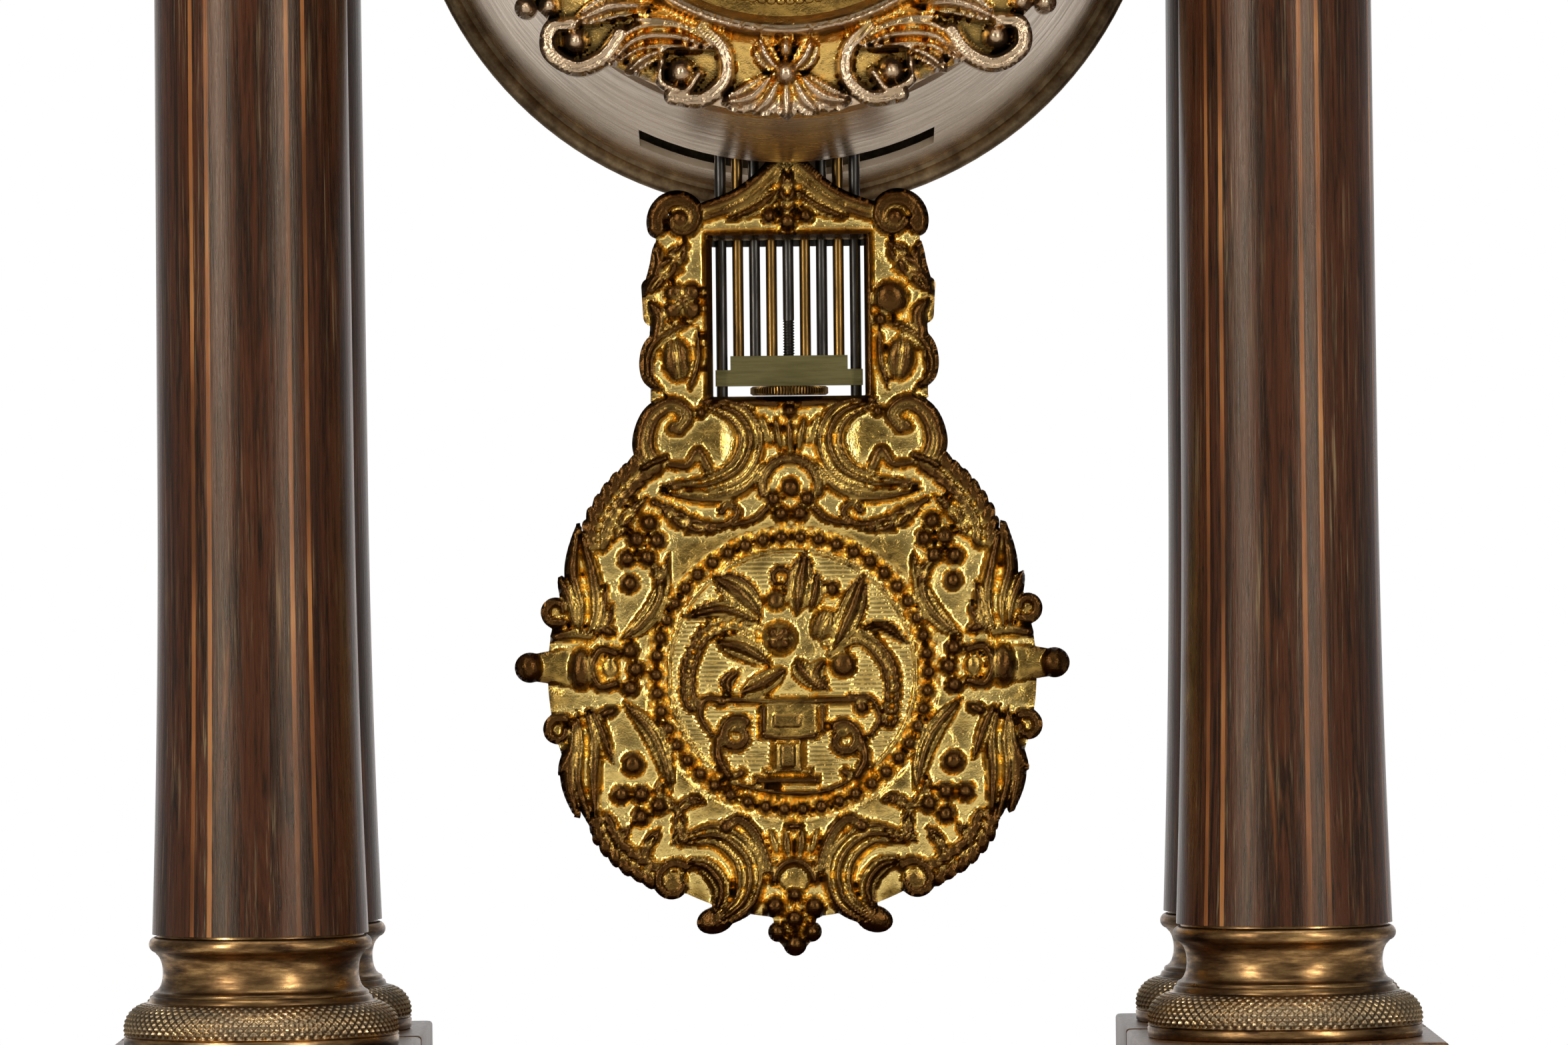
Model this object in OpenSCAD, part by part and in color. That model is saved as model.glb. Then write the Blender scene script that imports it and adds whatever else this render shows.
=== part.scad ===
// Portico clock: four wooden columns on a moulded base carry an entablature, a drum with the
// movement and dial hangs between them, and a gilt pendulum swings below through a slot in the drum.
// Millimetres. Origin at the bottom centre of the base, +Z up, the dial faces -Y, X runs to the right.

/* [Base] */
// Height of the bun feet
foot_h = 12; // [8:0.5:16]
// Radius of the bun feet
foot_r = 14; // [10:0.5:15]
// Height of the lower moulding
skirt_h = 10; // [8:0.5:14]
// Height of the base block
block_h = 26; // [20:1:36]
// Height of the base top board
board_h = 8; // [6:0.5:12]
// How far the top board stands out past the plinths
board_margin = 5; // [3:0.5:10]
// How far the lower moulding stands out past the top board
skirt_margin = 6; // [4:0.5:10]

/* [Columns] */
// Sideways distance from the drum's rear edge to a column axis
column_gap = 25; // [24.5:0.5:30]
// Side of the square plinths
plinth_w = 54; // [52:0.5:56]
// Height of the square plinths
plinth_h = 12; // [8:0.5:16]
// Gap between a front plinth and the rear one behind it
plinth_gap = 3; // [2:0.5:6]
// Height of a turned column base, and of a capital
turned_h = 20; // [18:0.5:22]
// Largest radius of the knurled torus
torus_r = 24.3; // [23:0.1:25]
// Length of a column shaft
shaft_h = 240; // [236:1:260]
// Radius of the shaft at its foot
shaft_foot_r = 19; // [18:0.1:19.5]
// Radius of the shaft above the flare
shaft_mid_r = 17.6; // [17:0.1:18]
// Radius of the shaft at its top
shaft_top_r = 16.6; // [16:0.1:17]
// Height over which the foot flares out
flare_h = 80; // [50:1:100]
// Radius of the tie rods inside the columns
tie_r = 3; // [2.5:0.1:4]

/* [Entablature] */
// Height of the abacus block on a capital
abacus_h = 10; // [8:0.5:12]
// Side of the abacus block
abacus_w = 50; // [48:0.5:53]
// Height of the architrave
architrave_h = 8; // [7:0.5:12]
// Height of the frieze
frieze_h = 44; // [36:1:56]
// Height of the cornice
cornice_h = 22; // [16:0.5:28]
// Height of the top slab
slab_h = 8; // [6:0.5:12]
// How far the cornice stands out past the frieze
cornice_margin = 10; // [6:0.5:14]

/* [Drum] */
// The drum hangs this far to the right of the centre line
drum_x = 4; // [0:0.5:5]
// Gap between the top of the drum's rear edge and the architrave it hangs from
drum_hang = 9; // [7:0.5:12]
// Outer radius of the drum at the front
drum_front_r = 54; // [53:0.25:55]
// Outer radius of the drum at the rear
drum_rear_r = 65; // [64:0.25:66]
// Front face of the drum
drum_front_y = -42; // [-43:0.5:-41]
// Rear edge of the drum
drum_rear_y = 24; // [24:0.5:27]
// Sheet thickness
drum_wall = 1.2; // [1:0.1:1.6]
// Opening in the front flange
flange_r = 41; // [40:0.25:42]
// Half width of the pendulum slot
slot_half = 26.4; // [25:0.2:29]
// Front edge of the pendulum slot
slot_front_y = -3; // [-4:0.5:-2]
// Rear edge of the pendulum slot
slot_rear_y = 10; // [9.5:0.5:11]
// Tube radius of the rear rim
rim_tube = 1.6; // [1.4:0.1:2]
// Thickness of the rear door
door_t = 1.5; // [1.2:0.1:2]

/* [Dial] */
// Radius of the dial
dial_r = 38; // [37:0.25:38.2]
// Thickness of the dial
dial_t = 1.5; // [1.2:0.1:1.7]
// Outer radius of the plain ring of the dial mount
mount_r = 50; // [48:0.5:52]
// Reach of the mount's ornament at the bottom and top
mount_low_r = 54.4; // [53:0.2:56]
// Reach of the mount's ornament at the sides
mount_side_r = 61; // [58:0.5:62]
// Outer radius of the hinged glass bezel
glass_ring_r = 38; // [37.5:0.1:38.2]
// Inner radius of the hinged glass bezel
glass_sight_r = 33.4; // [32:0.1:34]
// Length of the minute hand
minute_len = 29; // [26:0.5:30.5]
// Length of the hour hand
hour_len = 19; // [17:0.5:20]

/* [Movement] */
// Radius of the front plate
front_plate_r = 46; // [45:0.5:47]
// Radius of the back plate
back_plate_r = 42; // [41:0.5:44]
// Plate thickness
plate_t = 2; // [1.5:0.1:2.2]
// Rear face of the front plate
front_in_y = -34; // [-34.2:0.1:-33.8]
// Front face of the back plate
back_in_y = -6; // [-6.2:0.1:-5.8]
// Sideways distance from the axis to a winding arbor
wind_x = 18.6; // [18.4:0.1:18.8]
// How far the winding arbors lie below the axis
wind_drop = 9; // [8.8:0.1:9.2]
// Radius of a spring barrel
barrel_r = 15; // [14:0.2:15.6]
// Pivot radius of the wheel arbors
pivot_r = 0.7; // [0.6:0.05:0.8]
// Running clearance of every shaft, each side
run_gap = 0.06; // [0.03:0.01:0.09]
// Outer radius of the bell
bell_r = 27; // [25:0.5:28]

/* [Pendulum] */
// How far the bob's centre lies below the drum axis
bob_drop = 151.8; // [148:0.2:154]
// Radius of the bob's cast disc
bob_disc_r = 39.8; // [38:0.1:41]
// Radius of the bead ring
bead_ring_r = 24.4; // [24:0.1:25]
// Bead radius
bead_r = 1.45; // [1.2:0.05:1.5]
// Number of beads
bead_n = 46; // [40:1:48]
// Depth plane of the rods
rod_y = 4.6; // [4.4:0.1:4.8]
// Rod radius
rod_r = 1; // [0.9:0.05:1.1]
// Sideways pitch of the rods
rod_pitch = 3; // [2.9:0.05:3.1]
// Half width of the frame window
window_half = 13.6; // [13.5:0.1:14]
// Thickness of the cast plate
cast_t = 2.4; // [2:0.1:2.6]
// Radius of the rating nut
nut_r = 7; // [6:0.1:7.5]
// Thickness of the rating nut
nut_t = 1.6; // [1.3:0.1:1.65]

/* [Hidden] */
$fn = 64;
eps = 0.01;
// clearance between glued or screwed neighbours that are not flat, and round a fixed shaft
seat_gap = 0.05;
bore_gap = 0.2;

// Levels of the case
skirt_z = foot_h;
block_z = skirt_z + skirt_h;
board_z = block_z + block_h;
plinth_z = board_z + board_h;
turned_z = plinth_z + plinth_h;
shaft_z = turned_z + turned_h;
capital_z = shaft_z + shaft_h;
abacus_z = capital_z + turned_h;
architrave_z = abacus_z + abacus_h;
frieze_z = architrave_z + architrave_h;
cornice_z = frieze_z + frieze_h;
slab_z = cornice_z + cornice_h;
top_z = slab_z + slab_h;

// Plan of the case
column_x = drum_rear_r + column_gap;
column_y = (plinth_w + plinth_gap) / 2;
corners = [[-1, -1], [1, -1], [-1, 1], [1, 1]];
board_w = 2 * column_x + plinth_w + 2 * board_margin;
board_d = 2 * column_y + plinth_w + 2 * board_margin;
skirt_w = board_w + 2 * skirt_margin;
skirt_d = board_d + 2 * skirt_margin;
block_w = board_w - 6;
block_d = board_d - 6;
arch_w = 2 * column_x + abacus_w + 10;
arch_d = 2 * column_y + abacus_w + 10;
frieze_w = arch_w - 4;
frieze_d = arch_d - 4;
cornice_w = frieze_w + 2 * cornice_margin;
cornice_d = frieze_d + 2 * cornice_margin;
capital_torus_r = abacus_w / 2 - 0.7;
tie_nut_r = 6.5;
tie_nut_h = 5;
tie_pocket_r = tie_nut_r + 1.5;
tie_bore_r = tie_r + bore_gap;

// Drum
drum_z = architrave_z - drum_rear_r - drum_hang;
drum_slope = (drum_rear_r - drum_front_r) / (drum_rear_y - drum_front_y);
function drum_r_at(y) = drum_front_r + drum_slope * (y - drum_front_y);
rim_y = drum_rear_y + 1.2;
rim_r = drum_rear_r + rim_tube + 0.3;
saddle_w = 34;
saddle_y0 = -20;
saddle_y1 = 18;
screw_r = 2;
screw_ys = [-11, 9];
door_y = rim_y + rim_tube + 0.4;
door_r = drum_rear_r - 2.5;
hinge_pin_r = 0.8;
knuckle_r = 1.9;
door_hinge_x = rim_r + rim_tube + knuckle_r + 0.4;
door_hinge_y = door_y + door_t / 2;

// Dial mount and glass
mount_back_y = drum_front_y - 0.6;
mount_front_y = mount_back_y - 4.4;
lip_r = 34.6;
dial_foot_r = 1.2;
function dial_foot_at(i) = (dial_r - 5) * [cos(30 + i * 120), sin(30 + i * 120)];
lip_t = 1.2;
dial_back_y = mount_back_y;
dial_front_y = dial_back_y - dial_t;
lip_y = dial_front_y - lip_t - seat_gap;
glass_back_y = lip_y - 3.6;
glass_ring_t = 3;
glass_t = 1.2;
glass_hinge_x = glass_ring_r + 2.6;
glass_hinge_y = glass_back_y - glass_ring_t - 0.2;

// Train: tooth counts, modules and centres, all in the plane of the plates
great_n = 80;
great_m = 0.44;
pinion_n = 10;
inter_n = 72;
inter_m = 0.36;
centre_n = 80;
centre_m = 0.3;
leaf_n = 8;
third_n = 80;
third_m = 0.26;
escape_n = 41;
escape_r = 8.5;
pin_n = 60;
tooth_fill = 0.34;
great_r = great_m * great_n / 2;
function reach(m, a, b) = m * (a + b) / 2;
// the point at distance ra from a and rb from b, on the left going from a to b
function meet(a, ra, b, rb) =
    let (d = norm(b - a), u = (b - a) / d, s = (ra * ra - rb * rb + d * d) / (2 * d),
         h = sqrt(ra * ra - s * s))
    a + u * s + [-u[1], u[0]] * h;
function bearing(a, b) = atan2(b[1] - a[1], b[0] - a[0]);
// phase of wheel b (nb teeth) that meshes with wheel a (na teeth, phase pa), b lying at bearing t
function mesh(pa, na, nb, t) = t + 180 - na / nb * (pa - t) - 180 / nb;
centre_at = [0, 0];
going_at = [wind_x, -wind_drop];
strike_at = [-wind_x, -wind_drop];
inter_at = meet(centre_at, reach(inter_m, inter_n, pinion_n), going_at, reach(great_m, great_n, pinion_n));
third_dir = 115;
third_at = reach(centre_m, centre_n, leaf_n) * [cos(third_dir), sin(third_dir)];
escape_at = [0, third_at[1] + sqrt(pow(reach(third_m, third_n, leaf_n), 2) - pow(third_at[0], 2))];
pallet_rise = 12.4;
pallet_at = escape_at + [0, pallet_rise];
pin_dir = -50.7;
pinw_at = strike_at + reach(great_m, great_n, pinion_n) * [cos(pin_dir), sin(pin_dir)];
fly_at = pinw_at + reach(inter_m, pin_n, leaf_n) * [cos(-5), sin(-5)];
inter_phase = mesh(0, great_n, pinion_n, bearing(going_at, inter_at));
centre_phase = mesh(inter_phase, inter_n, pinion_n, bearing(inter_at, centre_at));
third_phase = mesh(centre_phase, centre_n, leaf_n, bearing(centre_at, third_at));
escape_phase = mesh(third_phase, third_n, leaf_n, bearing(third_at, escape_at));
pin_phase = mesh(0, great_n, pinion_n, bearing(strike_at, pinw_at));
fly_phase = mesh(pin_phase, pin_n, leaf_n, bearing(pinw_at, fly_at));

// Depth levels of the train
barrel_y0 = front_in_y + 3;
great_y = front_in_y + 19;
great_t = 1.6;
barrel_h = great_y - barrel_y0;
inter_y = front_in_y + 22.5;
wheel_t = 1.2;
centre_y = front_in_y + 25;
third_y = front_in_y + 0.8;
escape_y = front_in_y + 25;
arbor_r = 1;
// the lower pillars stand wide of the two barrels
pillar_dirs = [32, 148, 242, 298];

// Motion work
cannon_n = 12;
minute_n = 36;
hour_n = 40;
mp_n = 10;
motion_m = 0.5;
motion_d = reach(motion_m, cannon_n, minute_n);
hour_m = 2 * motion_d / (hour_n + mp_n);
motion_dir = 60;
motion_at = motion_d * [cos(motion_dir), sin(motion_dir)];
front_out_y = front_in_y - plate_t;
cannon_y = front_out_y - 1.5;
hour_wheel_y = cannon_y - 1.9;
hour_hand_y = dial_front_y - 1.9;
minute_hand_y = hour_hand_y - 1.6;
hand_t = 0.6;
shaft_r = 1.1;
cannon_pipe_r = 1.7;
hour_pipe_r = 2.5;
minute_phase = mesh(0, cannon_n, minute_n, motion_dir);
hour_phase = mesh(minute_phase, mp_n, hour_n, motion_dir + 180);

// Pendulum
pivot_z = drum_z + pallet_at[1];
bob_z = drum_z - bob_drop;
// the casting's pattern is drawn for a disc of this radius and scaled to the real one
pattern_r = 39.8;
cast_scale = bob_disc_r / pattern_r;
window_z0 = bob_z + 49.6 * cast_scale;
window_z1 = bob_z + 77.6 * cast_scale;
cast_back_y = rod_y - rod_r - 0.4;
cast_front_y = cast_back_y - cast_t;
bar_t = 3 * rod_r;
nut_z = window_z0 + 0.2;
bar_z = nut_z + nut_t + 0.1;
bar_step_z = bar_z + 2.9 * rod_r;
bar_top_z = bar_step_z + 2.5 * rod_r;
bar_wide = window_half - 0.4;
bar_narrow = 3.5 * rod_pitch;
bridge_z = drum_z - 22;
bridge_h = 4 * rod_r;
bridge_w = 5 * rod_pitch;
hook_z = pivot_z - 24;
spring_w = 4;
spring_t = 0.3;
back_out_y = back_in_y + plate_t;
crutch_z = pivot_z - 32;

// Helpers
module turn_y() { rotate([-90, 0, 0]) rotate_extrude() children(); }
module slab_y(y, t) { translate([0, y + t, 0]) rotate([90, 0, 0]) linear_extrude(t) children(); }
module at_drum() { translate([drum_x, 0, drum_z]) children(); }
module at_bob() { translate([drum_x, 0, bob_z]) children(); }
module rod_along_y(p, r, y, t) { translate([p[0], y, p[1]]) rotate([-90, 0, 0]) cylinder(r = r, h = t); }
module at_corners() { for (c = corners) translate([c[0] * column_x, c[1] * column_y, 0]) children(); }
// a block with the same moulding on all four sides; steps are [inset, height] from the bottom up
module moulded(w, d, z, steps) {
    n = len(steps);
    intersection() {
        translate([0, d / 2 + 1, z]) rotate([90, 0, 0]) linear_extrude(d + 2)
            polygon(concat([for (s = steps) [w / 2 - s[0], s[1]]],
                [for (i = [n - 1:-1:0]) [steps[i][0] - w / 2, steps[i][1]]]));
        translate([-w / 2 - 1, 0, z]) rotate([90, 0, 90]) linear_extrude(w + 2)
            polygon(concat([for (s = steps) [d / 2 - s[0], s[1]]],
                [for (i = [n - 1:-1:0]) [steps[i][0] - d / 2, steps[i][1]]]));
    }
}
// thin-toothed wheel: flanks run straight in below the pitch circle and taper above it
module wheel2d(n, m, phase) {
    r = m * n / 2;
    hp = 180 / n * tooth_fill;
    ht = hp * 0.45;
    polygon([for (i = [0:n - 1]) each let (a = phase + i * 360 / n) [
        for (q = [[r - 1.1 * m, -hp], [r, -hp], [r + 0.7 * m, -ht],
                  [r + 0.7 * m, ht], [r, hp], [r - 1.1 * m, hp]])
            q[0] * [cos(a + q[1]), sin(a + q[1])]]]);
}
// rim, five arms and hub left when a train wheel is crossed out
module crossings2d(r_in, r_out) {
    for (i = [0:4]) rotate(i * 72) intersection() {
        difference() { circle(r_out); circle(r_in); }
        polygon([[1.6, 0.8], [40, 6], [40, 20], [4, 18], [0.9, 1.6]]);
    }
}
module arbor(p, y0, y1) {
    rod_along_y(p, arbor_r - 0.3, y0, y1 - y0);
}
module pivots(p) {
    rod_along_y(p, pivot_r, front_in_y - plate_t, back_in_y - front_in_y + 2 * plate_t);
}
module wheel_at(p, y, t, n, m, phase) {
    translate([p[0], 0, p[1]]) slab_y(y, t) wheel2d(n, m, phase);
}
module crossed_wheel_at(p, y, t, n, m, phase) {
    translate([p[0], 0, p[1]]) slab_y(y, t) difference() {
        wheel2d(n, m, phase);
        crossings2d(2.6, m * n / 2 - 2.4 * m - 0.6);
    }
}

// Base
module base_feet() color("#4a3022") for (c = corners)
    translate([c[0] * (skirt_w / 2 - foot_r - 6), c[1] * (skirt_d / 2 - foot_r - 4), 0])
        rotate_extrude() polygon(concat([[0, 0], [foot_r * 0.62, 0]],
            [for (i = [0:8]) let (a = -70 + i * 17.5)
                [foot_r * 0.55 + foot_r * 0.45 * cos(a), foot_h * 0.45 + foot_h * 0.45 * sin(a)]],
            [[foot_r * 0.5, foot_h * 0.9], [foot_r * 0.5, foot_h], [0, foot_h]]));
module base_moulding() color("#4f2e20") difference() {
    moulded(skirt_w, skirt_d, skirt_z, concat([[0, 0], [0, 3]],
        [for (i = [0:6]) let (a = i * 15) [(skirt_margin - 0.5) * (1 - cos(a)), 3 + (skirt_h - 4) * sin(a)]],
        [[skirt_margin + 1, skirt_h - 1], [skirt_margin + 1, skirt_h]]));
    at_corners() translate([0, 0, skirt_z - 1]) cylinder(r = tie_pocket_r, h = skirt_h + 2);
}
module base_block() color("#5a3524") difference() {
    translate([-block_w / 2, -block_d / 2, block_z]) cube([block_w, block_d, block_h]);
    at_corners() translate([0, 0, block_z - 1]) cylinder(r = tie_bore_r, h = block_h + 2);
}
module base_top_board() color("#52301f") difference() {
    moulded(board_w, board_d, board_z, concat([[2, 0]],
        [for (i = [0:6]) let (a = -90 + i * 30) [2 - 2 * cos(a), board_h / 2 + (board_h / 2 - 1) * sin(a)]],
        [[3, board_h - 1], [3, board_h]]));
    at_corners() translate([0, 0, board_z - 1]) cylinder(r = tie_bore_r, h = board_h + 2);
}

// Columns
module column_plinths() color("#5e3a26") at_corners() difference() {
    translate([-plinth_w / 2, -plinth_w / 2, plinth_z]) cube([plinth_w, plinth_w, plinth_h]);
    translate([0, 0, plinth_z - 1]) cylinder(r = tie_bore_r, h = plinth_h + 2);
}
// turned brass section: knurled torus at the bottom, fillet, scotia and a ring under the shaft
function turned_profile(neck_r, torus_r) = concat(
    [[tie_bore_r, 0], [torus_r - 0.1, 0], [torus_r - 0.1, 0.9]],
    [for (i = [0:8]) let (a = -20 + i * 12.5)
        [torus_r - 4.6 + 4.6 * cos(a), 2.5 + 4.6 * sin(a) * (turned_h / 20)]],
    [[neck_r + 0.4, turned_h * 0.435], [neck_r, turned_h * 0.51], [neck_r - 0.6, turned_h * 0.53]],
    [for (i = [0:6]) let (a = -60 + i * 20)
        [neck_r - 0.9 - 1.3 * cos(a), turned_h * 0.7 + turned_h * 0.16 * sin(a)]],
    [for (i = [0:6]) let (a = -90 + i * 30)
        [neck_r - 0.3 + 1.1 * cos(a), turned_h - 1.35 + 1.15 * sin(a)]],
    [[neck_r - 0.6, turned_h], [tie_bore_r, turned_h]]);
module column_bases() color("#8a7446") at_corners() translate([0, 0, turned_z])
    rotate_extrude() polygon(turned_profile(shaft_foot_r, torus_r));
module column_capitals() color("#8a7446") at_corners() translate([0, 0, abacus_z]) mirror([0, 0, 1])
    rotate_extrude() polygon(turned_profile(shaft_top_r + 1.2, capital_torus_r));
function shaft_r_at(z) = shaft_top_r + (shaft_mid_r - shaft_top_r) * (1 - z / shaft_h)
    + (z < flare_h ? (shaft_foot_r - shaft_mid_r) * pow(1 - z / flare_h, 2) : 0);
module column_shaft(c) color("#3a2015") translate([c[0] * column_x, c[1] * column_y, shaft_z])
    rotate_extrude() polygon(concat([[tie_bore_r, 0]],
        [for (i = [0:10]) [shaft_r_at(flare_h * i / 10), flare_h * i / 10]],
        [[shaft_top_r, shaft_h], [tie_bore_r, shaft_h]]));
module column_shaft_fl() column_shaft(corners[0]);
module column_shaft_fr() column_shaft(corners[1]);
module column_shaft_rl() column_shaft(corners[2]);
module column_shaft_rr() column_shaft(corners[3]);
module column_abaci() color("#5e3a26") at_corners() difference() {
    translate([-abacus_w / 2, -abacus_w / 2, abacus_z]) cube([abacus_w, abacus_w, abacus_h]);
    translate([0, 0, abacus_z - 1]) cylinder(r = tie_bore_r, h = abacus_h + 2);
}
module tie_rods() color("#6c6c70") at_corners()
    translate([0, 0, skirt_z + 2]) cylinder(r = tie_r, h = frieze_z + tie_nut_h + 3 - skirt_z - 2);
module tie_rod_nuts() color("#7a7a7e") at_corners() for (z = [block_z - tie_nut_h, frieze_z])
    translate([0, 0, z]) difference() {
        cylinder(r = tie_nut_r, h = tie_nut_h, $fn = 6);
        translate([0, 0, -1]) cylinder(r = tie_r + seat_gap, h = tie_nut_h + 2);
    }

// Entablature
module architrave() color("#52301f") difference() {
    moulded(arch_w, arch_d, architrave_z, [[0, 0], [0, architrave_h - 3], [2, architrave_h - 3],
        [2, architrave_h]]);
    at_corners() translate([0, 0, architrave_z - 1]) cylinder(r = tie_bore_r, h = architrave_h + 2);
    at_drum() for (y = screw_ys) translate([0, y, 0])
        cylinder(r = screw_r + seat_gap, h = frieze_z - drum_z + 1);
}
module frieze() color("#5a3524") difference() {
    translate([-frieze_w / 2, -frieze_d / 2, frieze_z]) cube([frieze_w, frieze_d, frieze_h]);
    at_corners() translate([0, 0, frieze_z - 1]) cylinder(r = tie_pocket_r, h = tie_nut_h + 6);
    at_drum() for (y = screw_ys) translate([0, y, 0])
        cylinder(r = screw_r + seat_gap, h = frieze_z - drum_z + 13);
}
module cornice() color("#4f2e20") moulded(cornice_w, cornice_d, cornice_z, concat(
    [[cornice_margin, 0], [cornice_margin, 2]],
    [for (i = [0:8]) let (a = i * 11.25)
        [cornice_margin * cos(a) + 0.5 * sin(a), 3 + (cornice_h - 7) * sin(a)]],
    [[0, cornice_h - 4], [0, cornice_h]]));
module top_slab() color("#4f2e20") moulded(cornice_w - 8, cornice_d - 8, slab_z, concat(
    [[0, 0], [0, slab_h * 0.4]],
    [for (i = [1:6]) let (a = i * 15) [4 * (1 - cos(a)), slab_h * (0.4 + 0.6 * sin(a))]]));

// Drum
module drum_saddle() color("#7d6a42") at_drum() difference() {
    translate([-saddle_w / 2, saddle_y0, drum_r_at(saddle_y0) - 8])
        cube([saddle_w, saddle_y1 - saddle_y0, architrave_z - drum_z - drum_r_at(saddle_y0) + 8]);
    turn_y() polygon([[0, drum_front_y], [drum_front_r + seat_gap, drum_front_y],
        [drum_rear_r + seat_gap, drum_rear_y], [0, drum_rear_y]]);
    for (y = screw_ys) translate([0, y, 0]) cylinder(r = screw_r + seat_gap, h = architrave_z - drum_z + 1);
}
module saddle_screws() color("#6c6c70") at_drum() for (y = screw_ys) translate([0, y, 0]) {
    translate([0, 0, drum_r_at(y) - drum_wall - 4]) cylinder(r = screw_r,
        h = frieze_z - drum_z + 10 - drum_r_at(y) + drum_wall + 4);
    translate([0, 0, drum_r_at(y) - drum_wall - 5]) cylinder(r = screw_r + 2, h = 3);
}
module drum_shell() color("#a8a090") at_drum() difference() {
    turn_y() polygon([[flange_r, drum_front_y], [drum_front_r - 2, drum_front_y],
        [drum_front_r - 0.6, drum_front_y + 0.5], [drum_r_at(drum_front_y + 2), drum_front_y + 2],
        [drum_rear_r, drum_rear_y], [drum_rear_r - drum_wall, drum_rear_y],
        [drum_r_at(drum_front_y + 2) - drum_wall, drum_front_y + 2],
        [drum_front_r - 2.4, drum_front_y + drum_wall], [flange_r, drum_front_y + drum_wall]]);
    translate([-slot_half, slot_front_y, -drum_rear_r - 2])
        cube([2 * slot_half, slot_rear_y - slot_front_y, drum_rear_r * 0.4]);
    for (y = screw_ys) translate([0, y, 0]) cylinder(r = screw_r + seat_gap, h = drum_rear_r + 2);
}
module drum_rear_rim() color("#4a4438") at_drum() mirror([1, 0, 0]) {
    turn_y() {
        translate([rim_r, rim_y]) circle(r = rim_tube, $fn = 24);
        polygon([[door_r - 3, rim_y - 1.2 + seat_gap], [rim_r, rim_y - 1.2 + seat_gap],
            [rim_r, rim_y + 1], [door_r - 3, rim_y + 1]]);
    }
    for (z = [-9, 4]) difference() {
        union() {
            translate([rim_r - 2, rim_y - 0.6, z]) cube([door_hinge_x - rim_r + 2, 1.6, 5]);
            translate([door_hinge_x - 1, rim_y - 0.6, z]) cube([2, door_hinge_y - rim_y + 0.6, 5]);
            translate([door_hinge_x, door_hinge_y, z]) cylinder(r = knuckle_r, h = 5);
        }
        translate([door_hinge_x, door_hinge_y, z - 1]) cylinder(r = hinge_pin_r + run_gap, h = 7);
    }
}
module rear_door() color("#9a8f74") at_drum() mirror([1, 0, 0]) {
    turn_y() polygon([[0, door_y], [door_r, door_y], [door_r, door_y + door_t], [0, door_y + door_t]]);
    translate([door_r - 2, door_y, -3.5]) cube([door_hinge_x - door_r + 1, door_t, 7]);
    translate([door_hinge_x, door_hinge_y, -3.5]) cylinder(r = knuckle_r, h = 7);
    translate([door_hinge_x, door_hinge_y, -9]) cylinder(r = hinge_pin_r, h = 18);
}
module door_knob() color("#8a7446") at_drum() translate([door_r - 9, 0, 0]) turn_y()
    polygon([[0, door_y + door_t], [1.6, door_y + door_t], [1.6, door_y + door_t + 2],
        [3.2, door_y + door_t + 3.5], [3.2, door_y + door_t + 5], [2, door_y + door_t + 6.4],
        [0, door_y + door_t + 6.8]]);
module movement_posts() color("#a08a52") at_drum() for (i = [0:3])
    rod_along_y((front_plate_r - 2.4) * [cos(45 + i * 90), sin(45 + i * 90)], 2,
        drum_front_y + drum_wall, front_out_y - drum_front_y - drum_wall);

// Dial mount, dial and glass
function mount_reach(a) = mount_low_r + (mount_side_r - mount_low_r) * pow(abs(sin(a)), 1.2);
// scroll pattern of the mount: angle from the bottom and radius of each boss
mount_bosses = [[0, 3.4], [20, 4.4], [43, 4.6], [57, 4], [72, 4.4], [90, 4.6]];
module dial_mount() color("#a8853f") at_drum() {
    turn_y() polygon([[lip_r, lip_y], [dial_r + 0.4, lip_y], [dial_r + 0.6, mount_front_y - 1.4],
        [dial_r + 2.4, mount_front_y - 2.2], [dial_r + 4.5, mount_front_y - 0.6],
        [mount_r - 3, mount_front_y - 2.6], [mount_r, mount_front_y + 1], [mount_r, mount_back_y],
        [dial_r + 0.3, mount_back_y], [dial_r + 0.3, lip_y + lip_t], [lip_r, lip_y + lip_t]]);
    for (b = mount_bosses) for (sx = [-1, 1]) for (sz = [-1, 1])
        let (d = mount_reach(b[0]) - b[1], p = d * [sx * sin(b[0]), sz * cos(b[0])])
            translate([p[0], mount_back_y - 3.2, p[1]]) rotate([-90, 0, 0])
                cylinder(r1 = b[1] * 0.7, r2 = b[1], h = 3.2, $fn = 24);
    slab_y(mount_back_y - 2, 2) difference() {
        polygon([for (i = [0:71]) let (a = i * 5, d = mount_reach(a) - 4) d * [sin(a), -cos(a)]]);
        circle(mount_r - 1);
    }
    for (z = [-8, 4]) difference() {
        union() {
            translate([glass_hinge_x, glass_hinge_y, z]) cylinder(r = knuckle_r, h = 4);
            translate([glass_hinge_x - 0.2, glass_hinge_y - 0.4, z])
                cube([2, mount_front_y - glass_hinge_y + 1.4, 4]);
        }
        translate([glass_hinge_x, glass_hinge_y, z - 1]) cylinder(r = hinge_pin_r + run_gap, h = 6);
    }
}
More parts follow.
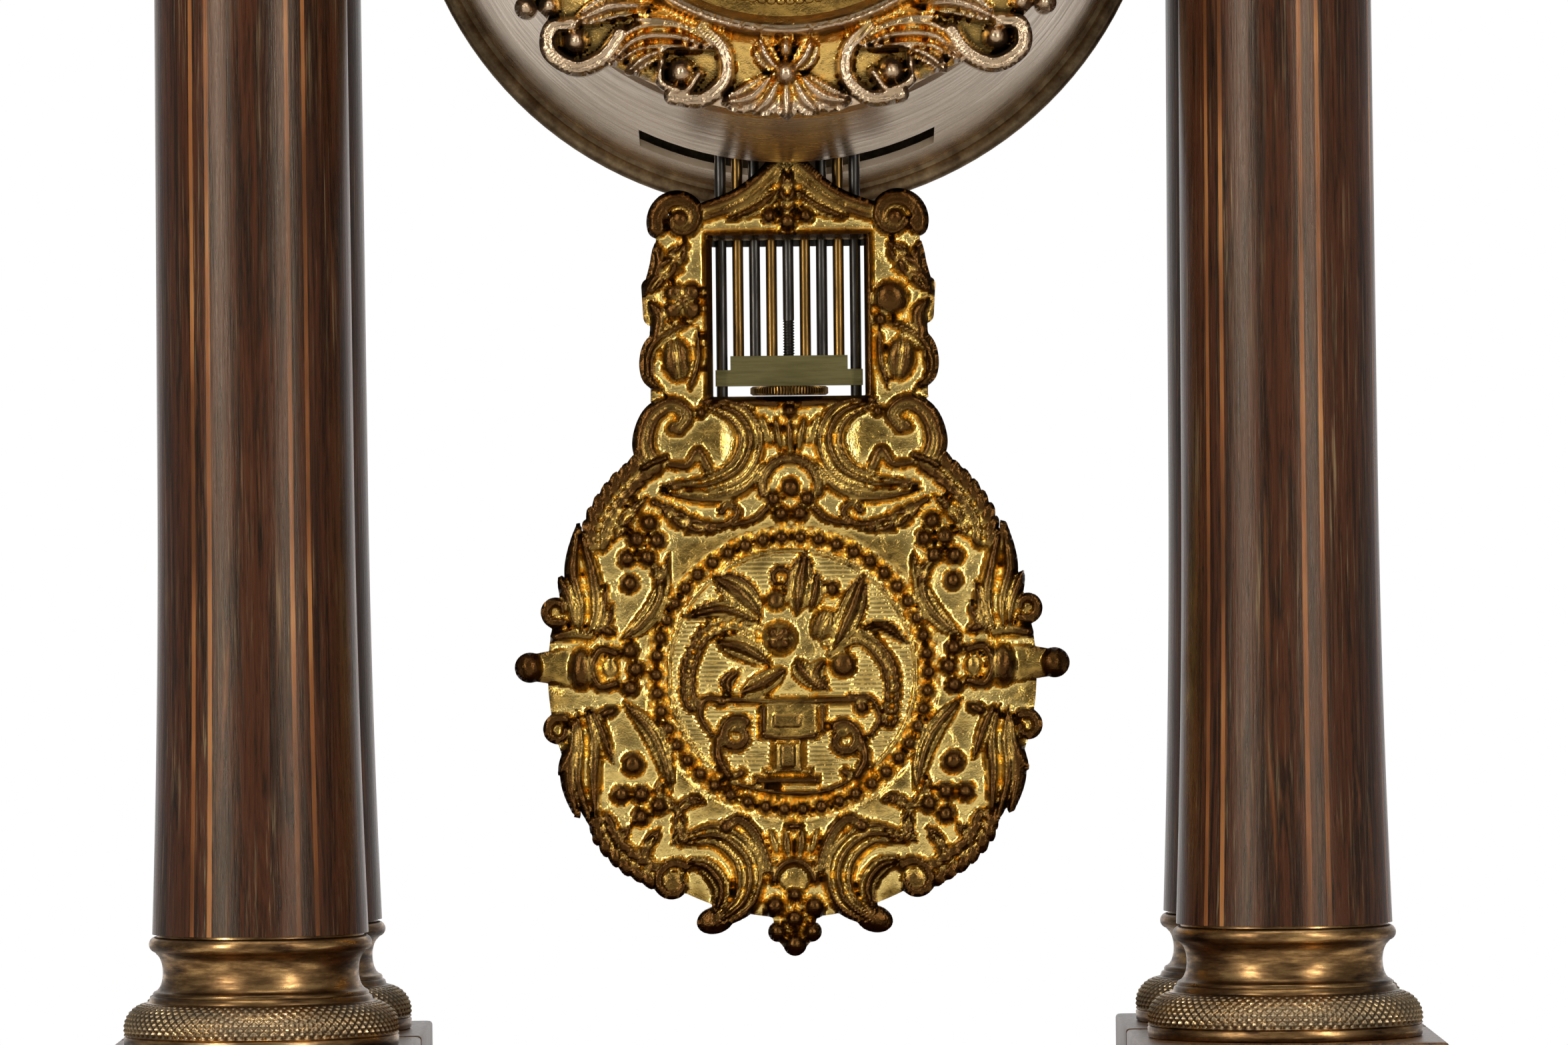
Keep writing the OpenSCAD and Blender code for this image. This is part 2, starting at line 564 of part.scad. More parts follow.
module glass_bezel() color("#a8853f") at_drum() {
    turn_y() polygon([[glass_sight_r, glass_back_y - glass_ring_t + 0.6],
        [glass_sight_r + 1, glass_back_y - glass_ring_t], [glass_ring_r - 1, glass_back_y - glass_ring_t + 0.4],
        [glass_ring_r, glass_back_y - 1], [glass_ring_r, glass_back_y],
        [glass_sight_r + 1.4, glass_back_y], [glass_sight_r + 1.4, glass_back_y - glass_t],
        [glass_sight_r, glass_back_y - glass_t]]);
    translate([glass_ring_r - 1.4, glass_hinge_y - 0.8, -3.4]) cube([glass_hinge_x - glass_ring_r + 1.4, 1.6, 6.8]);
    translate([glass_hinge_x, glass_hinge_y, -3.4]) cylinder(r = knuckle_r, h = 6.8);
    translate([glass_hinge_x, glass_hinge_y, -8]) cylinder(r = hinge_pin_r, h = 16);
}
module bezel_glass() color("#dfe8ea") at_drum() turn_y()
    polygon([[0, glass_back_y - glass_t + seat_gap], [glass_sight_r + 1.35, glass_back_y - glass_t + seat_gap],
        [glass_sight_r + 1.35, glass_back_y], [0, glass_back_y]]);
module dial() color("#f3efe4") at_drum() difference() {
    union() {
        turn_y() polygon([[hour_pipe_r + 0.6, dial_front_y], [dial_r, dial_front_y],
            [dial_r, dial_back_y], [hour_pipe_r + 0.6, dial_back_y]]);
        for (i = [0:2]) rod_along_y(dial_foot_at(i), dial_foot_r,
            dial_back_y - 0.5, front_out_y - dial_back_y + 1.5);
    }
    for (p = [going_at, strike_at]) rod_along_y(p, 2.6, dial_front_y - 1, dial_t + 2);
}

// Hands and motion work
module cannon_pinion() color("#b0964f") at_drum() difference() {
    union() {
        slab_y(cannon_y, 1.3) wheel2d(cannon_n, motion_m, 0);
        rod_along_y([0, 0], cannon_pipe_r, minute_hand_y - 0.3, cannon_y - minute_hand_y + 1);
    }
    rod_along_y([0, 0], shaft_r + run_gap, minute_hand_y - 1, 20);
}
module hour_wheel() color("#b0964f") at_drum() difference() {
    union() {
        slab_y(hour_wheel_y, 1) wheel2d(hour_n, hour_m, hour_phase);
        rod_along_y([0, 0], hour_pipe_r, hour_hand_y - 0.3, hour_wheel_y - hour_hand_y + 1);
    }
    rod_along_y([0, 0], cannon_pipe_r + run_gap, hour_hand_y - 1, 20);
}
module minute_wheel() color("#b0964f") at_drum() translate([motion_at[0], 0, motion_at[1]]) difference() {
    union() {
        slab_y(cannon_y + 0.2, 0.9) wheel2d(minute_n, motion_m, minute_phase);
        slab_y(hour_wheel_y - 0.3, cannon_y + 0.5 - hour_wheel_y) wheel2d(mp_n, hour_m, minute_phase);
    }
    rod_along_y([0, 0], pivot_r + run_gap, hour_wheel_y - 2, 8);
}
// a pierced moon near the tip, as on a pomme hand
module hand2d(len, moon, pipe_r) difference() {
    union() {
        circle(pipe_r + 1.2);
        polygon([[-0.9, 0], [0.9, 0], [0.5, len * 0.66], [-0.5, len * 0.66]]);
        translate([0, len * 0.7]) circle(moon);
        polygon([[-0.6, len * 0.7], [0.6, len * 0.7], [0, len]]);
    }
    translate([0, len * 0.7 + moon * 0.2]) circle(moon * 0.6);
    circle(pipe_r + seat_gap);
}
module hour_hand() color("#23262c") at_drum() rotate([0, 305, 0])
    slab_y(hour_hand_y, hand_t) hand2d(hour_len, 2.6, hour_pipe_r);
module minute_hand() color("#23262c") at_drum() rotate([0, 60, 0])
    slab_y(minute_hand_y, hand_t) hand2d(minute_len, 2.3, cannon_pipe_r);

// Movement frame
module plate_holes(r) {
    for (p = [inter_at, third_at, escape_at, pallet_at, pinw_at, fly_at])
        rod_along_y(p, pivot_r + run_gap, front_in_y - 10, 50);
    for (p = [going_at, strike_at]) rod_along_y(p, r, front_in_y - 10, 50);
}
module front_plate() color("#b99d56") at_drum() {
    difference() {
        rod_along_y([0, 0], front_plate_r, front_out_y, plate_t);
        plate_holes(2 + run_gap);
        rod_along_y([0, 0], shaft_r + run_gap, front_out_y - 1, plate_t + 2);
        for (i = [0:2]) rod_along_y(dial_foot_at(i), dial_foot_r + seat_gap,
            front_out_y - 1, plate_t + 2);
    }
    rod_along_y(motion_at, pivot_r, hour_wheel_y - 1.2, front_out_y - hour_wheel_y + 1.4);
}
hammer_at = [-34, -14];
module back_plate() color("#b99d56") at_drum() {
    difference() {
        rod_along_y([0, 0], back_plate_r, back_in_y, plate_t);
        plate_holes(2 + run_gap);
        rod_along_y([0, 0], shaft_r + run_gap, back_in_y - 1, plate_t + 2);
    }
    rod_along_y(hammer_at, 1, back_out_y - 0.4, 19);
}
module plate_pillars() color("#b99d56") at_drum() for (a = pillar_dirs)
    translate([(back_plate_r - 4) * cos(a), 0, (back_plate_r - 4) * sin(a)])
        turn_y() polygon([[0, front_in_y], [3, front_in_y], [3, front_in_y + 4], [2, front_in_y + 6],
            [2, back_in_y - 6], [3, back_in_y - 4], [3, back_in_y], [0, back_in_y]]);

// Going train
module barrel(p) {
    difference() {
        union() {
            rod_along_y(p, barrel_r, barrel_y0, barrel_h + 0.2);
            wheel_at(p, great_y, great_t, great_n, great_m, 0);
        }
        rod_along_y(p, barrel_r - 1.2, barrel_y0 + 1.2, barrel_h - 2);
        rod_along_y(p, 2 + run_gap, barrel_y0 - 1, 40);
    }
}
module winder(p) {
    rod_along_y(p, 2, front_out_y - 0.6, back_out_y - front_out_y + 1);
    translate([p[0] - 1.4, dial_front_y - 0.2, p[1] - 1.4]) cube([2.8, front_out_y - dial_front_y, 2.8]);
    rod_along_y(p, 4, barrel_y0 + 1.8, barrel_h - 3.2);
}
module going_barrel() color("#b99d56") at_drum() barrel(going_at);
module going_arbor() color("#77777c") at_drum() winder(going_at);
module strike_barrel() color("#b99d56") at_drum() barrel(strike_at);
module strike_arbor() color("#77777c") at_drum() winder(strike_at);
module intermediate_wheel() color("#b99d56") at_drum() {
    pivots(inter_at);
    rod_along_y(inter_at, arbor_r, great_y - 0.6, inter_y - great_y + 2);
    wheel_at(inter_at, great_y - 0.4, great_t + 0.8, pinion_n, great_m, inter_phase);
    crossed_wheel_at(inter_at, inter_y, wheel_t, inter_n, inter_m, inter_phase);
}
module centre_wheel() color("#b99d56") at_drum() {
    rod_along_y([0, 0], shaft_r, minute_hand_y - 1.2, back_out_y - minute_hand_y + 1.2);
    wheel_at(centre_at, inter_y - 0.5, wheel_t + 1, pinion_n, inter_m, centre_phase);
    crossed_wheel_at(centre_at, centre_y, wheel_t, centre_n, centre_m, centre_phase);
}
module third_wheel() color("#b99d56") at_drum() {
    pivots(third_at);
    wheel_at(third_at, centre_y - 0.4, wheel_t + 0.8, leaf_n, centre_m, third_phase);
    crossed_wheel_at(third_at, third_y, 1, third_n, third_m, third_phase);
}
module escape_wheel() color("#b99d56") at_drum() {
    pivots(escape_at);
    wheel_at(escape_at, third_y - 0.3, 1.6, leaf_n, third_m, escape_phase);
    translate([escape_at[0], 0, escape_at[1]]) slab_y(escape_y, 1) difference() {
        polygon([for (i = [0:escape_n - 1]) each let (a = i * 360 / escape_n) [
            (escape_r - 1.3) * [cos(a), sin(a)], (escape_r - 1.2) * [cos(a + 4), sin(a + 4)],
            escape_r * [cos(a + 5.6), sin(a + 5.6)], escape_r * [cos(a + 6.2), sin(a + 6.2)]]]);
        crossings2d(2.2, escape_r - 2.2);
    }
}
// the pallets stand just clear of the tooth tips at every angle, so the train can be turned alone
module anchor() color("#77777c") at_drum() {
    rod_along_y(pallet_at, pivot_r, front_out_y, back_out_y - front_out_y + 3);
    translate([pallet_at[0], 0, pallet_at[1]]) {
        slab_y(escape_y - 0.3, 1.6) {
            circle(2);
            for (s = [-1, 1]) polygon([[0, 1.4], [s * 8.6, -3.2], [s * 9.6, -5.6], [s * 8.4, -5.4],
                [s * 7.4, -3.6], [0, -1.4]]);
        }
        slab_y(back_out_y + 1.4, 1.2) {
            circle(1.8);
            polygon([[-0.8, 0], [0.8, 0], [0.8, -30], [-0.8, -30]]);
            translate([-2.8, -33.5]) square([5.6, 4]);
        }
        for (s = [-1, 1]) translate([s * 2 - 0.6, back_out_y + 2, -33])
            cube([1.2, rod_y + 2 - back_out_y - 2, 3]);
    }
}

// Strike train, bell and hammer
module strike_pin_wheel() color("#b99d56") at_drum() {
    pivots(pinw_at);
    rod_along_y(pinw_at, arbor_r, great_y - 0.6, inter_y - great_y + 2);
    wheel_at(pinw_at, great_y - 0.4, great_t + 0.8, pinion_n, great_m, pin_phase);
    crossed_wheel_at(pinw_at, inter_y, wheel_t, pin_n, inter_m, pin_phase);
    for (i = [0:9]) rod_along_y(pinw_at + 9 * [cos(i * 36), sin(i * 36)], 0.4, inter_y + 0.6, 2.6);
}
module strike_fly() color("#b99d56") at_drum() {
    pivots(fly_at);
    wheel_at(fly_at, inter_y - 0.4, wheel_t + 0.8, leaf_n, inter_m, fly_phase);
    translate([fly_at[0] - 4.6, great_y - 10, fly_at[1] - 0.3]) cube([9.2, 6, 0.6]);
    rod_along_y(fly_at, 1.2, great_y - 10.4, 6.8);
}
bell_y = 11;
bell_h = 11;
bell_at = [0, -4];
bell_post_at = [31, -21];
module bell() color("#8d8a72") at_drum() translate([bell_at[0], 0, bell_at[1]]) turn_y()
    polygon(concat([for (i = [0:8]) let (a = i * 11) [bell_r * cos(a), bell_y + bell_h * sin(a)]],
        [[2.05, bell_y + bell_h], [2.05, bell_y + bell_h - 1.4]],
        [for (i = [8:-1:0]) let (a = i * 11) [(bell_r - 1.4) * cos(a), bell_y + (bell_h - 1.4) * sin(a)]]));
bell_arm_y = bell_y + bell_h + seat_gap;
bell_arm_t = 2;
bell_bolt_r = 1.9;
module bell_post() color("#a08a52") at_drum() {
    rod_along_y(bell_post_at, 2, back_out_y, bell_arm_y + bell_arm_t / 2 - back_out_y);
    slab_y(bell_arm_y, bell_arm_t) {
        translate(bell_post_at) circle(3.2);
        translate(bell_at) circle(3.6);
        translate(bell_post_at) rotate(bearing(bell_post_at, bell_at)) translate([0, -2])
            square([norm(bell_at - bell_post_at), 4]);
    }
    rod_along_y(bell_at, bell_bolt_r, bell_y + bell_h - 3, 3 + bell_arm_t / 2);
    rod_along_y(bell_at, 3.4, bell_y + bell_h - 3.85, 2.2);
}
module hammer() color("#77777c") at_drum() translate([hammer_at[0], 0, hammer_at[1]]) {
    difference() {
        union() {
            rod_along_y([0, 0], 2.4, back_out_y + 6, 11);
            translate([0, back_out_y + 14, 0]) rotate([0, 14, 0]) translate([-0.9, 0, 0]) cube([1.8, 2, 15]);
        }
        rod_along_y([0, 0], 1 + run_gap, back_out_y, 20);
    }
    translate([3.4, back_out_y + 13, 15]) rotate([-90, 0, 0]) cylinder(r = 2.6, h = 5);
}

// Pendulum
module suspension_cock() color("#a08a52") at_drum() translate([0, 0, pallet_at[1]]) {
    for (s = [-1, 1]) translate([s * 7 - 1.5, back_out_y, -2]) cube([3, rod_y + 2.2 - back_out_y, 5]);
    difference() {
        translate([-8.5, rod_y - 2.2, 0.6]) cube([17, 4.4, 4.4]);
        translate([-spring_w / 2 - 0.6, rod_y - 0.7, 0]) cube([spring_w + 1.2, 1.4, 6]);
    }
    translate([0, rod_y - 3, 3]) rotate([-90, 0, 0]) cylinder(r = 0.6, h = 6);
}
module suspension_spring() color("#5c6270") at_drum() translate([0, 0, pallet_at[1]]) difference() {
    union() {
        translate([-spring_w / 2, rod_y - spring_t / 2, -20]) cube([spring_w, spring_t, 24]);
        translate([-3.4, rod_y - 1.2, -22]) cube([6.8, 2.4, 5]);
    }
    translate([0, rod_y - 4, 3]) rotate([-90, 0, 0]) cylinder(r = 0.9, h = 8);
}
module centre_rod() color("#6a6a6e") translate([drum_x, rod_y, 0]) {
    translate([0, 0, window_z0 + 0.6]) cylinder(r = rod_r, h = hook_z - window_z0);
    translate([-2.6, -1.2, hook_z - 2]) cube([5.2, 2.4, 4 - seat_gap]);
}
module side_rods(list) for (i = list) for (s = [-1, 1])
    translate([drum_x + s * i * rod_pitch, rod_y, i == 4 ? window_z0 - 4 : bar_step_z])
        cylinder(r = rod_r, h = bridge_z + bridge_h - 1 - (i == 4 ? window_z0 - 4 : bar_step_z));
module steel_rods() color("#6a6a6e") side_rods([2, 4]);
module brass_rods() color("#a08a52") side_rods([1, 3]);
module rod_bars() color("#a08a52") translate([drum_x, rod_y, 0]) difference() {
    union() {
        translate([-bar_wide, -bar_t / 2, bar_z]) cube([2 * bar_wide, bar_t, bar_step_z - bar_z]);
        translate([-bar_narrow, -bar_t / 2, bar_z]) cube([2 * bar_narrow, bar_t, bar_top_z - bar_z]);
        translate([-bridge_w, -bar_t / 2, bridge_z]) cube([2 * bridge_w, bar_t, bridge_h]);
    }
    translate([0, 0, bar_z - 1]) cylinder(r = rod_r + run_gap, h = bridge_z + 10 - bar_z);
    for (i = [1:4]) for (s = [-1, 1]) translate([s * i * rod_pitch, 0, i == 4 ? bar_z - 1 : bar_step_z])
        cylinder(r = rod_r + seat_gap, h = bridge_z + bridge_h - 1 - (i == 4 ? bar_z - 1 : bar_step_z));
}
module rating_nut() color("#b0964f") translate([drum_x, rod_y, nut_z]) difference() {
    cylinder(r = nut_r, h = nut_t);
    translate([0, 0, -1]) cylinder(r = rod_r + run_gap, h = nut_t + 2);
}
// bosses of the bob's outline on one side: x, z, radius from the centre of the bead ring
bob_bosses = [[44.6, 2, 4.6], [41, 9.6, 4.4], [40.8, -8.2, 4.3], [37.4, 17.5, 4.5], [34.6, 23.4, 4.6],
    [38, -16, 4.3], [35.2, -24.6, 3.7], [30, -31, 4.2], [23.7, -36.5, 4.5], [14.4, -40.4, 5.2],
    [7.6, -41.8, 4.8], [0, -46, 4.5], [30.4, 28.4, 4.8], [23.6, 42.6, 4.5], [20.6, 56, 5],
    [22.2, 66.6, 4.4], [19.5, 81.2, 5.5], [9, 83.6, 4.4]];
module bob_outline() {
    circle(pattern_r);
    translate([-22.5, 20]) square([45, 62]);
    polygon([[-28, 30], [28, 30], [24, 42], [-24, 42]]);
    polygon([[-19, 79], [19, 79], [10, 87], [2.6, 90.8], [2.6, 100], [-2.6, 100], [-2.6, 90.8], [-10, 87]]);
    for (b = bob_bosses) for (s = [-1, 1]) translate([s * b[0], b[1]]) circle(b[2], $fn = 32);
}
module bob_casting() color("#a8853f") at_bob() {
    slab_y(cast_front_y, cast_t) difference() {
        scale(cast_scale) bob_outline();
        translate([-window_half, window_z0 - bob_z]) square([2 * window_half, window_z1 - window_z0]);
    }
    translate([0, cast_front_y, 0]) scale(cast_scale) {
        turn_y() polygon([[0, -1.4], [12, -1.2], [21, -0.4], [21.4, -1.4], [22.6, -1.6], [22.9, 0.2], [0, 0.2]]);
        turn_y() polygon([[26, 0.2], [26.3, -1.5], [27.6, -1.5], [29, -0.6], [36, -1.6], [37, 0.2]]);
        for (b = bob_bosses) for (s = [-1, 1]) translate([s * b[0], 0.2, b[1]]) rotate([90, 0, 0])
            cylinder(r1 = b[2] * 0.86, r2 = b[2] * 0.5, h = 1.8, $fn = 24);
    }
    for (i = [0:bead_n - 1]) let (a = i * 360 / bead_n)
        translate([bead_ring_r * cos(a), cast_front_y, bead_ring_r * sin(a)]) sphere(r = bead_r, $fn = 16);
}
module bob_backing() color("#5f5a50") at_bob() translate([0, cast_back_y, 0]) scale(cast_scale) turn_y()
    polygon([[0, 0], [30, 0], [30, 3.2], [27, 5], [0, 5]]);

base_block();
base_moulding();
base_top_board();
base_feet();
column_plinths();
column_bases();
column_shaft_fl();
column_shaft_fr();
column_shaft_rl();
column_shaft_rr();
column_capitals();
column_abaci();
tie_rods();
tie_rod_nuts();
architrave();
frieze();
cornice();
top_slab();
drum_saddle();
saddle_screws();
drum_shell();
drum_rear_rim();
dial_mount();
dial();
movement_posts();
front_plate();
back_plate();
plate_pillars();
suspension_cock();
bell_post();
bell();
glass_bezel();
bezel_glass();
rear_door();
door_knob();
cannon_pinion();
minute_hand();
hour_wheel();
hour_hand();
minute_wheel();
going_barrel();
going_arbor();
intermediate_wheel();
centre_wheel();
third_wheel();
escape_wheel();
anchor();
strike_barrel();
strike_arbor();
strike_pin_wheel();
strike_fly();
hammer();
suspension_spring();
centre_rod();
steel_rods();
brass_rods();
rod_bars();
bob_casting();
bob_backing();
rating_nut();
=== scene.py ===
"""Portico clock: the looks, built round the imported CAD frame.

Sizes are millimetres until a mesh is made. X runs to the right, the dial faces -Y, Z is up.
"""
import math

import bmesh
import bpy
import numpy as np
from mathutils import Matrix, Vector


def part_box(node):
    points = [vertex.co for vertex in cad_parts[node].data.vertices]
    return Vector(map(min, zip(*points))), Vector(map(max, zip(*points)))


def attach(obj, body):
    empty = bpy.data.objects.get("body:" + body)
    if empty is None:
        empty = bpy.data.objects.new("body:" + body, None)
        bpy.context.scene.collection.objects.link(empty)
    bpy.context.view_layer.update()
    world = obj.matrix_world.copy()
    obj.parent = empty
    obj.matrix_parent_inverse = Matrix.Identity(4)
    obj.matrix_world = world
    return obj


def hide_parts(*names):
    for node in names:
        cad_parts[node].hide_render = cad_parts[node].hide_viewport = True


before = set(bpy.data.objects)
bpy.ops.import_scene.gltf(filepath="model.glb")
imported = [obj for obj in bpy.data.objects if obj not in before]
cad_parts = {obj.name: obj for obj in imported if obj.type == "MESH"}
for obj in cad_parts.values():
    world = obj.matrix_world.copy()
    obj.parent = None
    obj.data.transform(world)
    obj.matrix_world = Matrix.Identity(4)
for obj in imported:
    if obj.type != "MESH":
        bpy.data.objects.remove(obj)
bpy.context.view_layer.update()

# Bun feet
# Four turned beech buns, stained black and wax polished, glued under the corners of the base.
# The frame gives their places; the profile is a bun with a short neck, turned about Z.
MM = 0.001


def box_mm(node):
    """Lowest and highest corner of a CAD node, in millimetres."""
    low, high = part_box(node)
    return np.array(low) / MM, np.array(high) / MM


def colour(code):
    """sRGB hex code to linear red, green, blue, alpha."""
    parts = [int(code[i:i + 2], 16) / 255 for i in (1, 3, 5)]
    return [p / 12.92 if p <= 0.04045 else ((p + 0.055) / 1.055) ** 2.4 for p in parts] + [1.0]


def add(tree, kind, inputs=None, stops=None, **settings):
    """Adds one node: settings are properties, inputs are values or links, stops a ramp's colours."""
    node = tree.nodes.new("ShaderNode" + kind)
    for key, value in settings.items():
        setattr(node, key, value)
    for key, value in (inputs or {}).items():
        if isinstance(value, bpy.types.NodeSocket):
            tree.links.new(value, node.inputs[key])
        else:
            node.inputs[key].default_value = value
    if stops:
        ramp = node.color_ramp.elements
        while len(ramp) < len(stops):
            ramp.new(0.5)
        for element, (place, code) in zip(ramp, stops):
            element.position = place
            element.color = colour(code)
    return node.outputs


def start_finish(name):
    """A new material, its tree, and the socket that gives a point on the object in metres."""
    made = bpy.data.materials.new(name)
    made.use_nodes = True
    made.node_tree.nodes.clear()
    return made, made.node_tree, add(made.node_tree, "TexCoord")["Object"]


def end_finish(made, **inputs):
    """Gives a material its shader, whose inputs are named with _ for a space, and its output."""
    tree = made.node_tree
    named = {key.replace("_", " "): value for key, value in inputs.items()}
    shader = add(tree, "BsdfPrincipled", named)
    add(tree, "OutputMaterial", {"Surface": shader["BSDF"]})
    return made


def per_mm(*sizes):
    """Mapping scale that makes one pattern unit this many millimetres along X, Y and Z."""
    return [1 / (s * MM) for s in sizes]


def ebonised_beech():
    """Stained black beech under wax: nearly black, with faint brown grain and a satin gloss."""
    made, tree, point = start_finish("ebonised_beech_waxed")
    grain = add(tree, "Mapping", {"Vector": point, "Scale": per_mm(9, 9, 2.2)})
    rings = add(tree, "TexNoise", {"Vector": grain[0], "Scale": 1.0, "Detail": 5.0,
                                   "Roughness": 0.6})
    tone = add(tree, "ValToRGB", {"Fac": rings["Fac"]}, [(0.3, "#120d0a"), (0.7, "#2d1f16")])
    rough = add(tree, "MapRange", {"Value": rings["Fac"], "To Min": 0.28, "To Max": 0.5})
    bump = add(tree, "Bump", {"Height": rings["Fac"], "Strength": 0.15, "Distance": 0.2 * MM})
    return end_finish(made, Base_Color=tone["Color"], Roughness=rough[0], Normal=bump[0])


def grid_faces(rows, columns, ring_rows=False):
    """Quads of a grid of points whose columns close to a ring, and its rows too with ring_rows."""
    i = np.arange(rows if ring_rows else rows - 1)[:, None] * columns
    j = np.arange(columns)
    i2 = (i + columns) % (rows * columns)
    j2 = (j + 1) % columns
    return np.stack([i + j, i + j2, i2 + j2, i2 + j], axis=-1).reshape(-1, 4)


def put(name, points, faces, finish, body, nodes=(), slot=None, uv=None, marks=None, sharp=35,
        weld=False):
    """Makes a closed piece of points (mm) and faces, turned outwards by the sign of its volume.

    uv is one pair per face corner, marks are named values per point, sharp is the angle in degrees
    past which an edge is kept hard, and weld joins points that coincide.
    """
    points = np.asarray(points, float).reshape(-1, 3)
    faces = [list(f) for f in faces]
    tri = np.array([[f[0], f[k], f[k + 1]] for f in faces for k in range(1, len(f) - 1)])
    a, b, c = (points[tri[:, k]] for k in range(3))
    if np.einsum("ij,ij->i", a, np.cross(b, c)).sum() < 0:
        faces = [f[::-1] for f in faces]
        if uv is not None:
            uv = np.asarray(uv).reshape(-1, 4, 2)[:, ::-1].reshape(-1, 2)
    mesh = bpy.data.meshes.new(name)
    mesh.from_pydata((points * MM).tolist(), [], faces)
    if uv is not None:
        mesh.uv_layers.new(name="UVMap").data.foreach_set("uv", np.asarray(uv, float).ravel())
    for key, values in (marks or {}).items():
        mark = mesh.attributes.new(key, "FLOAT", "POINT")
        mark.data.foreach_set("value", np.asarray(values, float).ravel())
    if weld:
        work = bmesh.new()
        work.from_mesh(mesh)
        bmesh.ops.remove_doubles(work, verts=work.verts, dist=1e-7)
        work.to_mesh(mesh)
        work.free()
    mesh.update()
    mesh.polygons.foreach_set("use_smooth", np.ones(len(mesh.polygons), bool))
    mesh.set_sharp_from_angle(angle=math.radians(sharp))
    mesh.materials.append(finish)
    piece = bpy.data.objects.new(name, mesh)
    bpy.context.scene.collection.objects.link(piece)
    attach(piece, body)
    if nodes:
        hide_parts(*nodes)


def lathe(profile, centre, turns):
    """A profile of (radius, height) points turned about a vertical axis at centre (x, y)."""
    profile = np.asarray(profile, float)
    a = np.arange(turns) * 2 * np.pi / turns
    r, z = profile[:, 0][:, None], profile[:, 1][:, None]
    return np.stack([centre[0] + r * np.cos(a), centre[1] + r * np.sin(a), z + 0 * a], axis=-1)


def arc(centre, radius, start, end, count):
    """Points of an arc from start to end degrees; radius may be a pair for an ellipse."""
    a = np.radians(np.linspace(start, end, count))
    return np.asarray(centre) + np.stack([np.cos(a), np.sin(a)], axis=-1) * radius


feet_low, feet_high = box_mm("base_feet")
foot_r = 14.0
foot_h = feet_high[2] - feet_low[2]
foot_profile = np.vstack([
    [[0, 0], [foot_r * 0.6, 0]],
    arc((foot_r * 0.55, foot_h * 0.45), (foot_r * 0.45, foot_h * 0.45), -72, 78, 22),
    [[foot_r * 0.5, foot_h * 0.92], [foot_r * 0.5, foot_h], [0, foot_h]]])
black_beech = ebonised_beech()
for side, x in (("left", feet_low[0] + foot_r), ("right", feet_high[0] - foot_r)):
    for end, y in (("front", feet_low[1] + foot_r), ("rear", feet_high[1] - foot_r)):
        bun = lathe(foot_profile, (x, y), 72)
        put(f"bun_foot_{end}_{side}", bun, grid_faces(*bun.shape[:2]), black_beech, "case",
            ["base_feet"], "ebonised_wood", weld=True)

# Base
# A veneered block between a quarter-round skirt and a half-round top board, mitred and glued.
# A pair of light strings is let into each face of the block.
FRAME_GAP = 2.2
FRAME_STRING_W = 0.8
EASE_STEPS = 5


